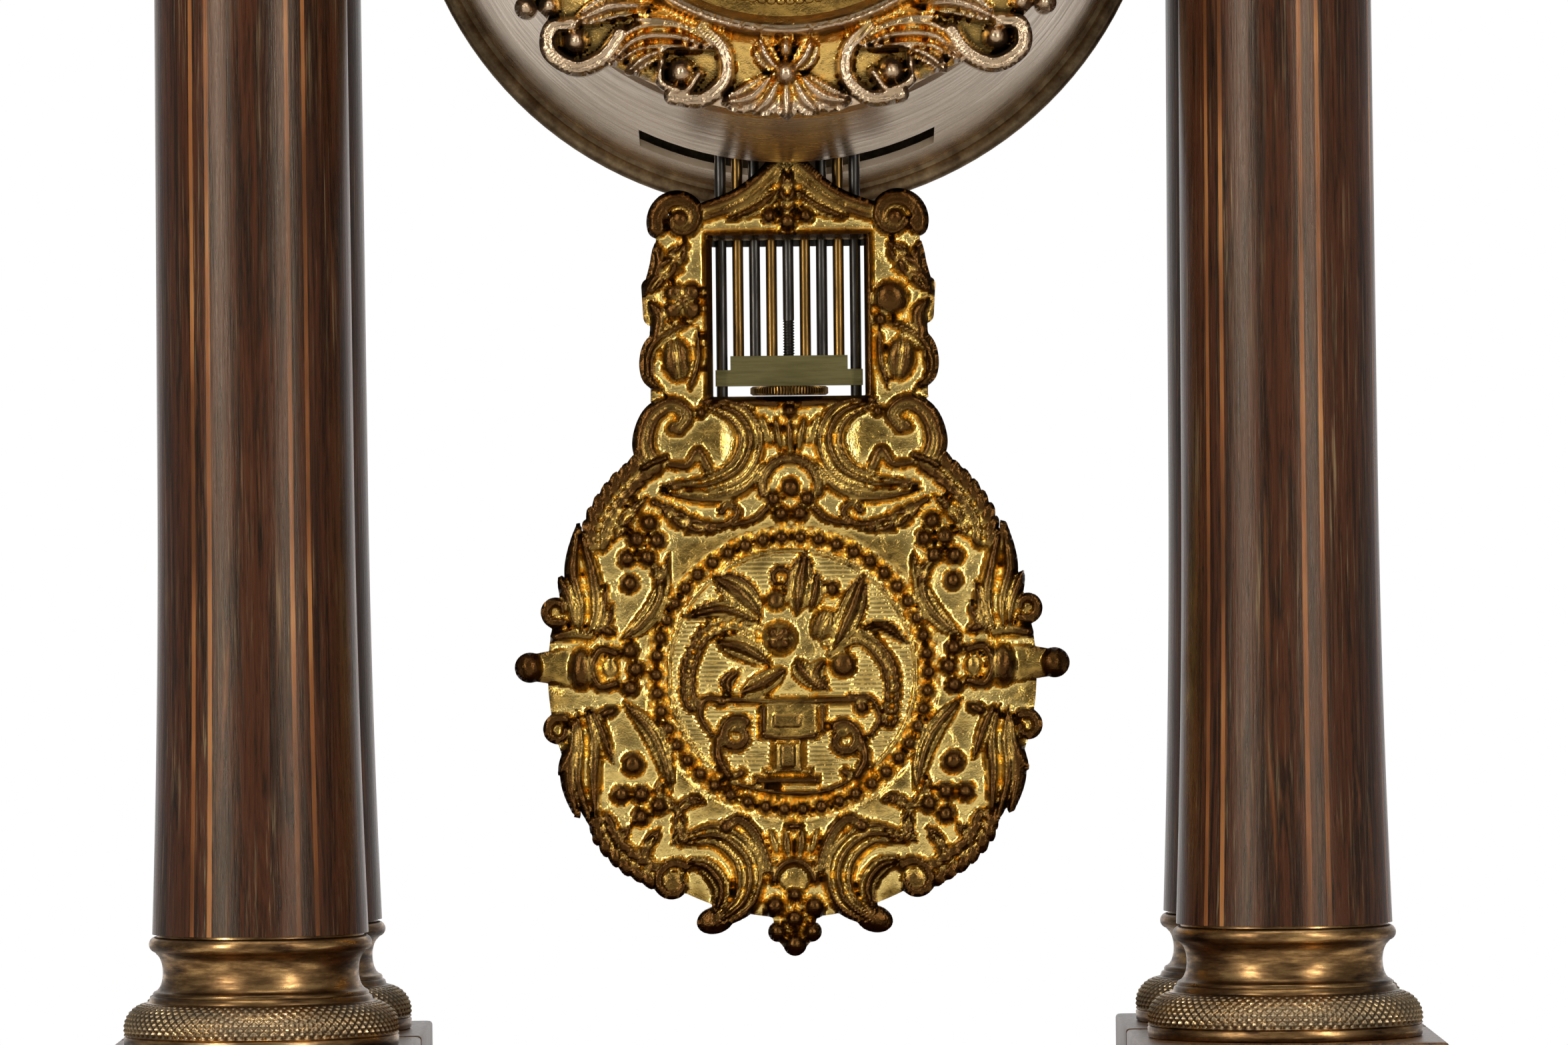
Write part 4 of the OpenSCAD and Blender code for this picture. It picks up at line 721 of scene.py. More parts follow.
def turned_out(outline, angle, radius):
    """Moves an outline out to a radius and turns it by an angle that runs clockwise from XII."""
    c, s = math.cos(angle), math.sin(angle)
    x, z = outline[:, 0], outline[:, 1] + radius
    return np.column_stack([x * c + z * s, z * c - x * s])


ink = black_fired()
numbers = ["XII", "I", "II", "III", "IIII", "V", "VI", "VII", "VIII", "IX", "X", "XI"]
numerals = [turned_out(s, hour * math.pi / 6, NUMERAL_R) for hour, text in enumerate(numbers)
            for s in roman(text, NUMERAL_H)]
put("dial_numerals", *prisms(numerals), ink, "case", slot="enamel", sharp=20)
minute_bars = [bar(0, -MINUTE_H / 2, 0, MINUTE_H / 2, 0.24 if m % 5 else 0.5) for m in range(60)]
minutes = [turned_out(mark, m * math.pi / 30, MINUTE_R) for m, mark in enumerate(minute_bars)]
put("dial_minute_marks", *prisms(minutes), ink, "case", slot="enamel", sharp=20)

# Dial mount
# A ring of lost-wax bronze, chased and gilt, screwed to the front of the drum; palmettes, scrolls and
# grapes run round it and reach furthest at the sides. It is drawn as a height over a lattice, so
# shapes overlap as the carver's wax did. The bezel hangs from two knuckles on its right.
MOUNT_BACK_Y = box_mm("dial_mount")[1][1]
MOUNT_SIGHT_R = 34.6
MOUNT_SEAT_R = 38.35
MOUNT_LOW_R = 54.4
MOUNT_SIDE_R = 61.0
MOUNT_SEAT = 2.6
PLATE_SHORT = 3.6
LIP_FORWARD = 1.55
HINGE_BORE_R = 0.86
KNUCKLE_R = 1.9
KNUCKLE_H = 4
LUG_BACK_Y = -47.5
hinge = (drum_x + 40.6, -52.15)
everywhere = (slice(None), slice(None))


def curve(points, pitch=0.25):
    """A smooth path through points (Catmull-Rom), stepped about every pitch mm."""
    p = np.asarray(points, float)
    p = np.vstack([2 * p[0] - p[1], p, 2 * p[-1] - p[-2]])
    length = np.hypot(*np.diff(p, axis=0).T).sum()
    t = np.linspace(0, len(p) - 3 - 1e-9, max(int(length / pitch), 8))
    i = t.astype(int)
    f = (t - i)[:, None]
    a, b, c, d = p[i], p[i + 1], p[i + 2], p[i + 3]
    return 0.5 * (2 * b + (c - a) * f + (2 * a - 5 * b + 4 * c - d) * f ** 2
                  + (3 * b - a - 3 * c + d) * f ** 3)


def blur(field, reach):
    """Mean over a square of reach cells each way, run twice, from running sums."""
    for _ in range(2):
        for axis in (0, 1):
            padded = np.concatenate([np.repeat(field.take([0], axis), reach + 1, axis), field,
                                     np.repeat(field.take([-1], axis), reach, axis)], axis)
            total = np.cumsum(padded, axis)
            n = field.shape[axis]
            field = (total.take(np.arange(2 * reach + 1, 2 * reach + 1 + n), axis)
                     - total.take(np.arange(n), axis)) / (2 * reach + 1)
    return field


def dome(part):
    """Height of a half ball: the root of 1 less the square of part, which is 1 at its edge."""
    return np.sqrt(np.clip(1 - part ** 2, 0, 1))


class Casting:
    """A cast plate on a square lattice, with three numbers at each point.

    inside is the distance in mm within the outline, rise the relief, and plain 1 on bare ground.
    """

    def __init__(self, low, high, pitch):
        self.low, self.pitch = np.array(low, float), pitch
        steps = [np.arange(first, last, pitch) for first, last in zip(low, high)]
        self.x, self.z = np.meshgrid(*steps, indexing="ij")
        self.inside = np.full(self.x.shape, -4.0)
        self.rise = np.zeros(self.x.shape)
        self.plain = np.zeros(self.x.shape)

    def near(self, points, reach):
        """The part of the lattice within reach mm of some points."""
        points = np.asarray(points, float).reshape(-1, 2)
        lo = np.clip(((points.min(0) - reach - self.low) / self.pitch).astype(int), 0, None)
        hi = ((points.max(0) + reach - self.low) / self.pitch).astype(int) + 2
        return slice(lo[0], max(hi[0], 0)), slice(lo[1], max(hi[1], 0))

    def about(self, centre, reach):
        """The part of the lattice within reach mm of a centre, and its places measured from there."""
        where = self.near(centre, reach)
        return where, self.x[where] - centre[0], self.z[where] - centre[1]

    def along(self, points, reach):
        """The part of the lattice within reach mm of a path, and for each place there its distance
        from the path, its side (1 left, -1 right) and how far along its nearest point is (0 to 1)."""
        path = curve(points)
        where = self.near(path, reach)
        dx = self.x[where][..., None] - path[:, 0]
        dz = self.z[where][..., None] - path[:, 1]
        k = (dx ** 2 + dz ** 2).argmin(axis=-1)
        dx, dz = (np.take_along_axis(d, k[..., None], -1)[..., 0] for d in (dx, dz))
        way = np.gradient(path, axis=0)[k]
        side = np.sign(way[..., 0] * dz - way[..., 1] * dx)
        return where, np.hypot(dx, dz), side, k / (len(path) - 1)

    def lay(self, where, inside, rise):
        """Lays a shape on the plate: the higher surface shows, the outline grows to take it in."""
        self.inside[where] = np.maximum(self.inside[where], inside)
        self.rise[where] = np.maximum(self.rise[where], np.where(inside > 0, rise, 0))
        self.plain[where] = np.where(inside > 0, 0, self.plain[where])

    def both(self, shape, points, *args):
        """The same shape on the left and, mirrored, on the right; so is the turn of a bud."""
        points = np.asarray(points, float)
        shape(points, *args)
        if shape == self.bud:
            args = (args[0], -args[1], *args[2:])
        shape(points * [-1, 1], *args)

    def ball(self, centre, r, rise, seat=0.4):
        """A berry or boss: a half ellipsoid."""
        where, x, z = self.about(centre, r)
        d = np.hypot(x, z)
        self.lay(where, r - d, seat + rise * dome(d / r))

    def stroke(self, points, w0, w1, rise, seat=0.4, groove=0.0):
        """A rounded band along a path, its half width going from w0 to w1, with a middle groove."""
        where, d, _, t = self.along(points, max(w0, w1))
        w = w0 + (w1 - w0) * t
        self.lay(where, w - d, seat + rise * dome(d / w) - groove * np.exp(-(d / (0.34 * w)) ** 2))

    def leaf(self, points, w, rise, lobes=4, seat=0.4, cut=0.34):
        """An acanthus leaf: its half width swells as a sine and is cut into lobes, veins run out from
        a sunk rib as a cosine of the way along less the way across."""
        where, d, _, t = self.along(points, w)
        half = w * np.sin(np.pi * np.clip(t, 0.02, 0.985) ** 0.75) ** 0.62
        half = half * (1 - cut * np.mod(lobes * t, 1.0) ** 1.5)
        part = np.clip(d / np.maximum(half, 0.05), 0, 1)
        body = dome(part) * (0.86 + 0.14 * np.cos(2 * np.pi * (lobes * t - 0.8 * part)))
        rib = 0.3 * rise * np.exp(-(d / 0.42) ** 2)
        self.lay(where, half - d, seat + rise * body - rib)

    def plume(self, points, w, ribs, rise, seat=0.4, swell=0.5):
        """A ribbed acanthus sweep: pointed at both ends, widest at swell, its ribs cosine bows."""
        where, d, side, t = self.along(points, w)
        skew = math.log(0.5) / math.log(swell)
        half = w * np.sin(np.pi * np.clip(t, 0.012, 0.988) ** skew) ** 0.55
        part = np.clip(d / half, 0, 1)
        bows = 0.58 + 0.42 * np.abs(np.cos(np.pi * ribs * side * part / 2))
        self.lay(where, half - d, seat + rise * np.sqrt(1 - part ** 3) * bows)

    def bud(self, centre, size, turn, rise, seat=0.4, split=0.0):
        """A bud: half an ellipsoid of half widths size, turned by degrees, split by a groove."""
        where, x, z = self.about(centre, max(size))
        c, s = math.cos(math.radians(turn)), math.sin(math.radians(turn))
        u, v = (x * c + z * s) / size[0], (z * c - x * s) / size[1]
        q = np.hypot(u, v)
        crown = dome(q) - split * np.exp(-(u * size[0] / 0.45) ** 2) * (q < 1)
        self.lay(where, (1 - q) * min(size), seat + rise * crown)

    def volute(self, centre, r, turns, start, hand, w, rise, seat=0.4, eye=0.3, boss=1.1):
        """A scroll: a band on a spiral that closes evenly from r, with a ball for its eye."""
        s = np.linspace(0, 1, 40)
        a = math.radians(start) + hand * 2 * np.pi * turns * s
        reach = (r - w) * (1 - (1 - eye) * s)
        path = np.asarray(centre) + reach[:, None] * np.stack([np.cos(a), np.sin(a)], -1)
        self.stroke(path, w, w * 0.72, rise, seat, 0.15 * rise)
        self.ball(centre, r * eye * 1.05, rise * boss, seat)

    def scroll_pair(self, centre, r, turns, start, hand, w, rise, **kw):
        """A volute on the left and its mirror image on the right."""
        self.volute(centre, r, turns, start, hand, w, rise, **kw)
        self.volute((-centre[0], centre[1]), r, turns, 180 - start, -hand, w, rise, **kw)

    def rosette(self, centre, r, petals, rise, seat=0.4, turn=0.0):
        """A flower: petals as lobes of the radius, hollowed towards the middle, with a round eye."""
        where, x, z = self.about(centre, r)
        d, a = np.hypot(x, z), np.arctan2(z, x) - math.radians(turn)
        lobe = np.abs(np.cos(petals * a / 2))
        edge = r * (0.62 + 0.38 * lobe ** 0.6)
        part = np.clip(d / edge, 0, 1)
        body = np.sqrt(1 - part ** 4) * (0.55 + 0.3 * lobe) + 0.15 * part
        self.lay(where, edge - d, seat + rise * body)
        self.ball(centre, r * 0.32, rise * 0.95, seat + 0.1)

    def fan(self, centre, r, start, end, flutes, rise, seat=0.4):
        """A shell: a dome over a sector, fluted by the angle."""
        where, x, z = self.about(centre, r)
        d = np.hypot(x, z)
        mid, half = (start + end) / 2, (end - start) / 2
        off = np.abs(np.mod(np.degrees(np.arctan2(z, x)) - mid + 180, 360) - 180)
        flute = 0.78 + 0.22 * np.cos(2 * np.pi * flutes * off / (2 * half))
        edge = r * (0.94 + 0.06 * flute)
        inside = np.minimum(edge - d, np.radians(half - off) * np.maximum(d, 0.3))
        crown = np.sqrt(np.clip(1 - (d / edge) ** 2, 0.08, 1))
        self.lay(where, inside, seat + rise * crown * flute)

    def panel(self, corners, rise, bevel, seat=0.4):
        """A rectangle between two opposite corners, its edges bevelled."""
        low, high = np.min(corners, axis=0), np.max(corners, axis=0)
        where = self.near([low, high], 0.5)
        x, z = self.x[where], self.z[where]
        inside = np.minimum.reduce([x - low[0], high[0] - x, z - low[1], high[1] - z])
        self.lay(where, inside, seat + rise * np.clip(inside / bevel, 0, 1))

    def band(self, r, w, rise, seat=0.4):
        """A round moulding on a circle about the middle."""
        d = np.abs(np.hypot(self.x, self.z) - r)
        self.lay(everywhere, w - d, seat + rise * dome(d / w))

    def open(self, inside_hole):
        """Cuts an opening: the outline is also the hole's edge, given as the distance within it."""
        self.inside = np.minimum(self.inside, -inside_hole)

    def mesh(self):
        """Points of the front, its quads, and the wear and shade mark and the plain mark of each
        point.

        Cells with all corners inside are kept, and the outermost points move to where inside is 0.
        The wear and shade mark is the height above the mean of the surroundings, near and wide, more
        at the rim.
        """
        ok = self.inside > 0
        cell = ok[:-1, :-1] & ok[1:, :-1] & ok[1:, 1:] & ok[:-1, 1:]
        for _ in range(6):
            p = np.pad(cell, 1)
            a, b, c, d = p[:-1, :-1], p[1:, :-1], p[1:, 1:], p[:-1, 1:]
            cell &= ~((a & c & ~b & ~d)[1:, 1:] | (b & d & ~a & ~c)[:-1, 1:])
        p = np.pad(cell, 1).astype(int)
        count = p[:-1, :-1] + p[1:, :-1] + p[1:, 1:] + p[:-1, 1:]
        rim = (count > 0) & (count < 4)
        gx, gz = np.gradient(self.inside, self.pitch)
        steep = np.maximum(gx ** 2 + gz ** 2, 0.2)
        move = np.where(rim, np.clip(self.inside, 0, 1.5 * self.pitch), 0) / steep
        step = np.hypot(gx * move, gz * move)
        move = move * np.minimum(1, 1.2 * self.pitch / np.maximum(step, 1e-6))
        x, z = self.x - gx * move, self.z - gz * move
        number = np.full(self.x.shape, -1)
        used = count > 0
        number[used] = np.arange(used.sum())
        i, k = np.nonzero(cell)
        quads = np.stack([number[i, k], number[i + 1, k], number[i + 1, k + 1], number[i, k + 1]], -1)
        # Height over the surroundings: high points are worn, the deepest hollows get painted shade.
        wear = 0.38 * np.exp(-(np.clip(self.inside, 0, 9) / 1.3) ** 2)
        for reach, share in ((0.9, 0.9), (3.2, 0.55)):
            wear += (self.rise - blur(self.rise, int(reach / self.pitch))) * share
        front = np.stack([x[used], self.rise[used], z[used]], -1)
        return front, quads, wear[used], self.plain[used]


def solid_casting(name, casting, centre, face_y, back_y, finish, body, node):
    """Closes a casting: the relief in front, the same lattice flat behind, walls round its edges.

    An edge that only one quad has is on the outline."""
    front, quads, wear, plain = casting.mesh()
    front = np.column_stack([front[:, 0] + centre[0], face_y - front[:, 1], front[:, 2] + centre[1]])
    back = front.copy()
    back[:, 1] = back_y
    n = len(front)
    edges = np.concatenate([quads[:, [k, (k + 1) % 4]] for k in range(4)])
    key = np.sort(edges, axis=1) @ np.array([n, 1])
    _, first, times = np.unique(key, return_index=True, return_counts=True)
    rim = edges[first[times == 1]]
    walls = np.column_stack([rim[:, 1], rim[:, 0], n + rim[:, 0], n + rim[:, 1]])
    marks = {"wear": wear, "plain": plain, "rise": face_y - front[:, 1]}
    marks = {mark: np.append(values, 0 * values) for mark, values in marks.items()}
    faces = np.vstack([quads, n + quads[:, ::-1], walls])
    put(name, np.vstack([front, back]), faces, finish, body, [node], "gilt_bronze", marks=marks,
        sharp=62)


def worn_gilt(name, gold, high_gold, bright, ridge, worn_at, hatch=False):
    """Fire gilding over bronze: warm gold on flats, bright in creases, painted shade in the deepest
    ones.

    Ridges have the colour of what covers them: bronze rubbed bare on the bob, dust on the mount.
    The wear and shade mark is height above the surroundings; the rise mark shades the relief 0.6
    deeper again.
    hatch chases lines 0.8 mm apart in the plain field, coarser than the real 0.55 mm, to show.
    """
    made, tree, point = start_finish(name)
    wear = add(tree, "Attribute", attribute_name="wear")
    mottle = add(tree, "TexNoise", {"Vector": point, "Scale": 1 / (2.2 * MM), "Detail": 6.0,
                                    "Roughness": 0.65})
    leafing = add(tree, "ValToRGB", {"Fac": mottle["Fac"]}, [(0.3, gold), (0.7, high_gold)])
    ragged = add(tree, "Math", {0: mottle["Fac"], 1: 0.5, 2: wear["Fac"]}, operation="MULTIPLY_ADD")
    rubbed = add(tree, "MapRange", {"Value": ragged[0], "From Min": worn_at,
                                    "From Max": worn_at + 0.5, "To Max": 0.95})
    tone = add(tree, "Mix", {0: rubbed[0], 6: leafing["Color"], 7: colour(ridge)}, data_type="RGBA")
    kept = add(tree, "MapRange", {"Value": wear["Fac"], "From Min": -0.12, "From Max": -0.5})
    tone = add(tree, "Mix", {0: kept[0], 6: tone[2], 7: colour(bright)}, data_type="RGBA")
    # Painted shade: where the relief lies deepest below its surroundings, the colour goes near black.
    recess_shade_amount = add(tree, "MapRange", {"Value": ragged[0], "From Min": -1.25, "From Max": -0.7,
                                  "To Min": 0.8, "To Max": 0.0})
    recess_shaded = add(tree, "Mix", {0: recess_shade_amount[0], 6: tone[2], 7: colour("#1f140a")}, data_type="RGBA")
    rough = add(tree, "MapRange", {"Value": rubbed[0], "To Min": 0.19, "To Max": 0.27})
    pits = add(tree, "TexNoise", {"Vector": point, "Scale": 1 / (0.7 * MM), "Detail": 3.0,
                                  "Roughness": 0.7})
    height = pits["Fac"]
    if hatch:
        chased = add(tree, "TexWave", {"Vector": point, "Scale": math.pi / 10 / (0.8 * MM),
                                       "Distortion": 0.4, "Detail": 1.0, "Detail Scale": 1.0},
                     bands_direction="Z")
        field = add(tree, "Attribute", attribute_name="plain")
        lines = add(tree, "Math", {0: chased["Fac"], 1: field["Fac"]}, operation="MULTIPLY")
        height = add(tree, "Math", {0: lines[0], 1: 0.8, 2: height}, operation="MULTIPLY_ADD")[0]
    carved = add(tree, "Attribute", attribute_name="rise")
    deeper = add(tree, "Bump", {"Height": carved["Fac"], "Strength": 1.0, "Distance": 0.6 * MM})
    dents = add(tree, "TexNoise", {"Vector": point, "Scale": 1 / (6 * MM), "Detail": 2.0})
    uneven = add(tree, "Bump", {"Height": dents["Fac"], "Strength": 0.8, "Distance": 1.2 * MM,
                                "Normal": deeper[0]})
    bump = add(tree, "Bump", {"Height": height, "Strength": 0.45, "Distance": 0.3 * MM,
                              "Normal": uneven[0]})
    return end_finish(made, Base_Color=recess_shaded[2], Metallic=1.0, Roughness=rough[0], Normal=bump[0])


def mount_reach(a):
    """How far the ornament reaches at an angle from the bottom, in radians."""
    return MOUNT_LOW_R + (MOUNT_SIDE_R - MOUNT_LOW_R) * np.abs(np.sin(a)) ** 1.2


def mount_at(angle, r, flip=1):
    """Point at an angle in degrees from the bottom and a radius; flip -1 counts from the top."""
    return r * np.array([math.sin(math.radians(angle)), -flip * math.cos(math.radians(angle))])


def quarter(shape, places, *args):
    """Lays a shape of the lower left quarter on all four; a place is an angle and a radius."""
    points = np.array([mount_at(-angle, r) for angle, r in places])
    for flip in ((1, 1), (-1, 1), (1, -1), (-1, -1)):
        shape(points * flip if len(points) > 1 else points[0] * flip, *args)


mount = Casting((-62.5, -62.5), (62.5, 62.5), 0.42)
round_r = np.hypot(mount.x, mount.z)
round_a = np.arctan2(np.abs(mount.x), np.abs(mount.z))
mount.lay(everywhere, mount_reach(round_a) - PLATE_SHORT - round_r, np.interp(
    round_r, [38.2, 38.6, 39.2, 39.9, 40.6, 42.0, 44.0, 50.0],
    [4.6, 5.6, 6.2, 5.6, 4.2, 3.2, 2.8, 2.2]))

# Mount, a palmette at the bottom and at the top.
for flip in (1, -1):
    for turn in (-58, -28, 0, 28, 58):
        mount.plume([mount_at(turn * 0.05, 47.0, flip), mount_at(turn * 0.12, 51, flip),
                     mount_at(turn * 0.21, 54.6 - abs(turn) * 0.03, flip)], 2.6, 2, 2.2, MOUNT_SEAT)
    for turn in (-1, 1):
        mount.plume([mount_at(turn * 1.2, 46.5, flip), mount_at(turn * 4.6, 43.6, flip),
                     mount_at(turn * 6.4, 40.6, flip)], 2.2, 2, 2.4, MOUNT_SEAT)
    mount.bud(mount_at(0, 46.6, flip), (2.3, 2.5), 0, 3.0, MOUNT_SEAT + 0.6)
    mount.bud(mount_at(0, 42.2, flip), (1.3, 2.2), 0, 2.6, MOUNT_SEAT + 0.6)

# Mount, scrolls with round eyes between ribbed leaves, then grapes and a leaf beside a rosette.
quarter(mount.stroke, [(18.0, 49.0), (19.6, 52.6), (24.4, 52.6), (26.0, 49.2)], 1.0, 0.9, 2.8,
        MOUNT_SEAT)
quarter(mount.stroke, [(21.5, 54.2), (16.0, 53.0), (12.6, 48.6), (14.4, 43.8), (20.6, 41.2)],
        1.5, 1.6, 3.0, MOUNT_SEAT, 0.7)
quarter(mount.ball, [(21.6, 49.8)], 2.5, 3.2, MOUNT_SEAT)
quarter(mount.plume, [(17.4, 44.0), (25.6, 44.4), (32.6, 48.0), (34.4, 54.0)], 3.2, 3, 2.8,
        MOUNT_SEAT)
quarter(mount.plume, [(20.6, 41.8), (29.0, 42.6), (35.6, 45.6)], 1.8, 2, 2.4, MOUNT_SEAT)
quarter(mount.plume, [(26.0, 47.0), (29.4, 50.2), (31.0, 54.2)], 1.8, 2, 2.6, MOUNT_SEAT)
quarter(mount.stroke, [(36.0, 49.0), (36.2, 54.0), (39.0, 58.2), (44.0, 59.0), (46.6, 56.0),
                       (44.6, 53.0)], 1.7, 1.5, 3.0, MOUNT_SEAT, 0.7)
quarter(mount.bud, [(40.6, 54.4)], (4.6, 4.6), 0, 0.4, MOUNT_SEAT - 0.8)
quarter(mount.ball, [(42.0, 54.6)], 2.3, 3.0, MOUNT_SEAT)
quarter(mount.plume, [(34.0, 42.0), (41.0, 46.0), (44.6, 52.6)], 2.6, 2, 2.6, MOUNT_SEAT)
quarter(mount.plume, [(44.0, 41.8), (52.0, 44.4), (58.0, 49.6)], 2.8, 2, 2.4, MOUNT_SEAT)
for place in ((50.0, 53.6), (52.4, 57.0), (54.6, 53.4), (57.0, 56.8), (59.0, 53.2), (61.0, 56.6),
              (53.0, 50.2), (57.0, 50.0)):
    quarter(mount.ball, [place], 2.0, 2.8, MOUNT_SEAT)
quarter(mount.leaf, [(62.0, 52.0), (68.0, 56.6), (78.0, 57.0)], 3.4, 2.6, 4, MOUNT_SEAT)
quarter(mount.plume, [(60.0, 42.4), (70.0, 45.6), (82.0, 50.6)], 3.4, 3, 2.6, MOUNT_SEAT)
quarter(mount.plume, [(76.0, 41.8), (82.0, 43.4), (88.0, 46.4)], 1.8, 2, 2.4, MOUNT_SEAT)
for side, start, end in ((1, -80, 80), (-1, 80, 260)):
    mount.rosette((side * 54.6, 0), 4.8, 6, 2.8, MOUNT_SEAT)
    mount.fan((side * 50.6, 0), 6.0, start, end, 7, 2.0, MOUNT_SEAT)
mount.open(MOUNT_SEAT_R - round_r)
mount_gilt = worn_gilt("gilt_bronze_mount_dusty", "#94743e", "#e0b872", "#e8bc68", "#bea486", 0.3)
solid_casting("dial_mount_casting", mount, (drum_x, drum_z), MOUNT_BACK_Y, MOUNT_BACK_Y, mount_gilt,
              "case", "dial_mount")


def turned_about_y(profile, centre, turns=160):
    """A profile of (radius, y) points turned about an axis along Y at centre (x, z)."""
    skin = lathe(profile, (0, 0), turns)
    return np.stack([centre[0] + skin[..., 0], skin[..., 2], centre[1] + skin[..., 1]], axis=-1)


lip_y = MOUNT_BACK_Y - LIP_FORWARD
lip = turned_about_y([[MOUNT_SIGHT_R, lip_y], [MOUNT_SIGHT_R, lip_y - 0.7],
                      [MOUNT_SIGHT_R + 0.4, lip_y - 1.2], [MOUNT_SEAT_R + 0.1, lip_y - 1.2],
                      [MOUNT_SEAT_R + 0.1, lip_y]], (drum_x, drum_z))
put("dial_mount_lip", *hooped(lip), mount_gilt, "case", ["dial_mount"], "gilt_bronze")
for name, z in (("upper", drum_z + 4), ("lower", drum_z - 8)):
    barrel = lathe([[HINGE_BORE_R, z], [KNUCKLE_R, z], [KNUCKLE_R, z + KNUCKLE_H],
                    [HINGE_BORE_R, z + KNUCKLE_H]], hinge, 36)
    put(f"mount_knuckle_{name}", *hooped(barrel), mount_gilt, "case", ["dial_mount"], "gilt_bronze")
    block(f"mount_lug_{name}", (hinge[0] - 1.2, hinge[1] + 1.2, z),
          (hinge[0] + 1.2, LUG_BACK_Y, z + KNUCKLE_H), eased(KNUCKLE_H, 0.3),
          mount_gilt, ["dial_mount"], "gilt_bronze", 0.3)

# Glass bezel
# A turned gilt ring, hinged by a pin on the right, holds the glass in a rebate.
# Its inner edge is a row of small pearls, cast with it.
PEARL_N = 132
PEARL_R = 0.8
PEARL_RING_R = 34.4
pearl_y = box_mm("glass_bezel")[0][1] - 0.1
bezel_gilt = worn_gilt("gilt_brass_bezel", "#7d5f2c", "#b8924a", "#c9a050", "#4f3420", 0.8)
dress(bezel_gilt, "glass_bezel")


def pearl_row(count, ring_r, bead_r, y, centre, steps=8, sides=10):
    """A string of pearls: a tube on a circle whose radius rises and falls as a row of balls."""
    u = (np.arange(count * steps) * 2 * np.pi / (count * steps))[:, None]
    v = np.arange(sides) * 2 * np.pi / sides
    phase = np.mod(np.arange(count * steps) / steps, 1)[:, None] * 2 - 1
    tube = bead_r * (0.35 + 0.65 * dome(phase))
    r = ring_r + tube * np.cos(v)
    return np.stack([centre[0] + r * np.cos(u), y + tube * np.sin(v), centre[1] + r * np.sin(u)], -1)


pearls = pearl_row(PEARL_N, PEARL_RING_R, PEARL_R, pearl_y, (drum_x, drum_z))
put("bezel_pearls", *hooped(pearls), bezel_gilt, "glass_bezel", slot="gilt_bronze", sharp=70)

# Pendulum rods
# Steel and brass rods pinned between two brass bars make up the gridiron.
# The threaded middle rod carries the nut; steel is tarnished dark, brass has gone golden brown.
THREAD_PITCH = 0.5
THREAD_DEEP = 0.22
THREAD_ABOVE_NUT = 11.8
ROD_R = 1.05
ROD_END_R = 0.4
ROD_PLAIN_IN = 0.05
HOOK_H = 3.9
MILLS = 72
MILL_STEPS = 4
NUT_BORE_R = 1.06
STRAP_H = 4
STRAP_ABOVE_NUT = 26.7
brass_rod = machined("drawn_brass_tarnished", "#46331a", "#94703a", (0.8, 0.8, 9), 0.3)
dress(dark_steel, "steel_rods")
dress(brass_rod, "brass_rods")
dress(machined("filed_brass_olive", "#5b5433", "#857b50", (9, 0.8, 0.8), 0.42), "rod_bars")
rod_low, rod_high = box_mm("centre_rod")
nut_low, nut_high = box_mm("rating_nut")
nut_mid = (nut_low + nut_high) / 2
nut_r = (nut_high[0] - nut_low[0]) / 2
nut_t = nut_high[2] - nut_low[2]


def threaded_rod(low, cut, high, centre, turns=24):
    """A rod from low to high, screw cut up to cut: its radius falls from the crest as a cosine of
    height less turn. A small ring closes each end."""
    thread = np.linspace(low, cut, int((cut - low) / THREAD_PITCH * 8))
    z = np.concatenate([[low], thread, [cut + 0.2, high, high]])[:, None]
    a = np.arange(turns) * 2 * np.pi / turns
    phase = 2 * np.pi * z / THREAD_PITCH - a
    r = ROD_R - np.where(z > cut, ROD_PLAIN_IN, THREAD_DEEP / 2 * (1 - np.cos(phase)))
    r[[0, -1]] = ROD_END_R
    return np.stack([centre[0] + r * np.cos(a), centre[1] + r * np.sin(a), z + 0 * a], -1)


rod = threaded_rod(rod_low[2], nut_high[2] + THREAD_ABOVE_NUT, rod_high[2] - HOOK_H, nut_mid[:2])
put("centre_rod_threaded", *capped(rod), dark_steel, "pendulum", ["centre_rod"], "steel", sharp=80)
block("centre_rod_hook", (rod_low[0], rod_low[1], rod_high[2] - HOOK_H), rod_high, eased(HOOK_H, 0.3),
      dark_steel, ["centre_rod"], "steel", 0.3, "pendulum")
mill = np.arange(MILLS * MILL_STEPS)
nut = lathe([[NUT_BORE_R, 0], [nut_r - 0.45, 0], [nut_r, 0.3], [nut_r, nut_t - 0.3],
             [nut_r - 0.45, nut_t], [NUT_BORE_R, nut_t]], (0, 0), len(mill))
notch = 1 - np.array([0, 0.03, 0.07, 0.07, 0.03, 0])[:, None] * (np.mod(mill, MILL_STEPS) < 2)
nut[..., :2] = nut[..., :2] * notch[..., None] + nut_mid[:2]
nut[..., 2] += nut_low[2]
put("rating_nut_milled", *hooped(nut), brass_rod, "rating_nut", ["rating_nut"], "movement_brass")
strap_z = nut_low[2] + STRAP_ABOVE_NUT
hoop = nut_mid[:2] + np.array([[-15, -1.5], [-13.2, -1.5], [-13.2, 1.2], [13.2, 1.2],
                               [13.2, -1.5], [15, -1.5], [15, 2.0], [-15, 2.0]])
strap = np.stack([np.column_stack([hoop, np.full(len(hoop), z)])
                  for z in (strap_z, strap_z + STRAP_H)])
put("rod_guide_strap", *capped(strap), dark_steel, "bob", slot="steel")

# Bob
# A gilt casting: beads round a vase of flowers, acanthus and grapes outside, a window for the nut.
# A lead disc behind gives it weight; the outer rods hook into the back of the frame.


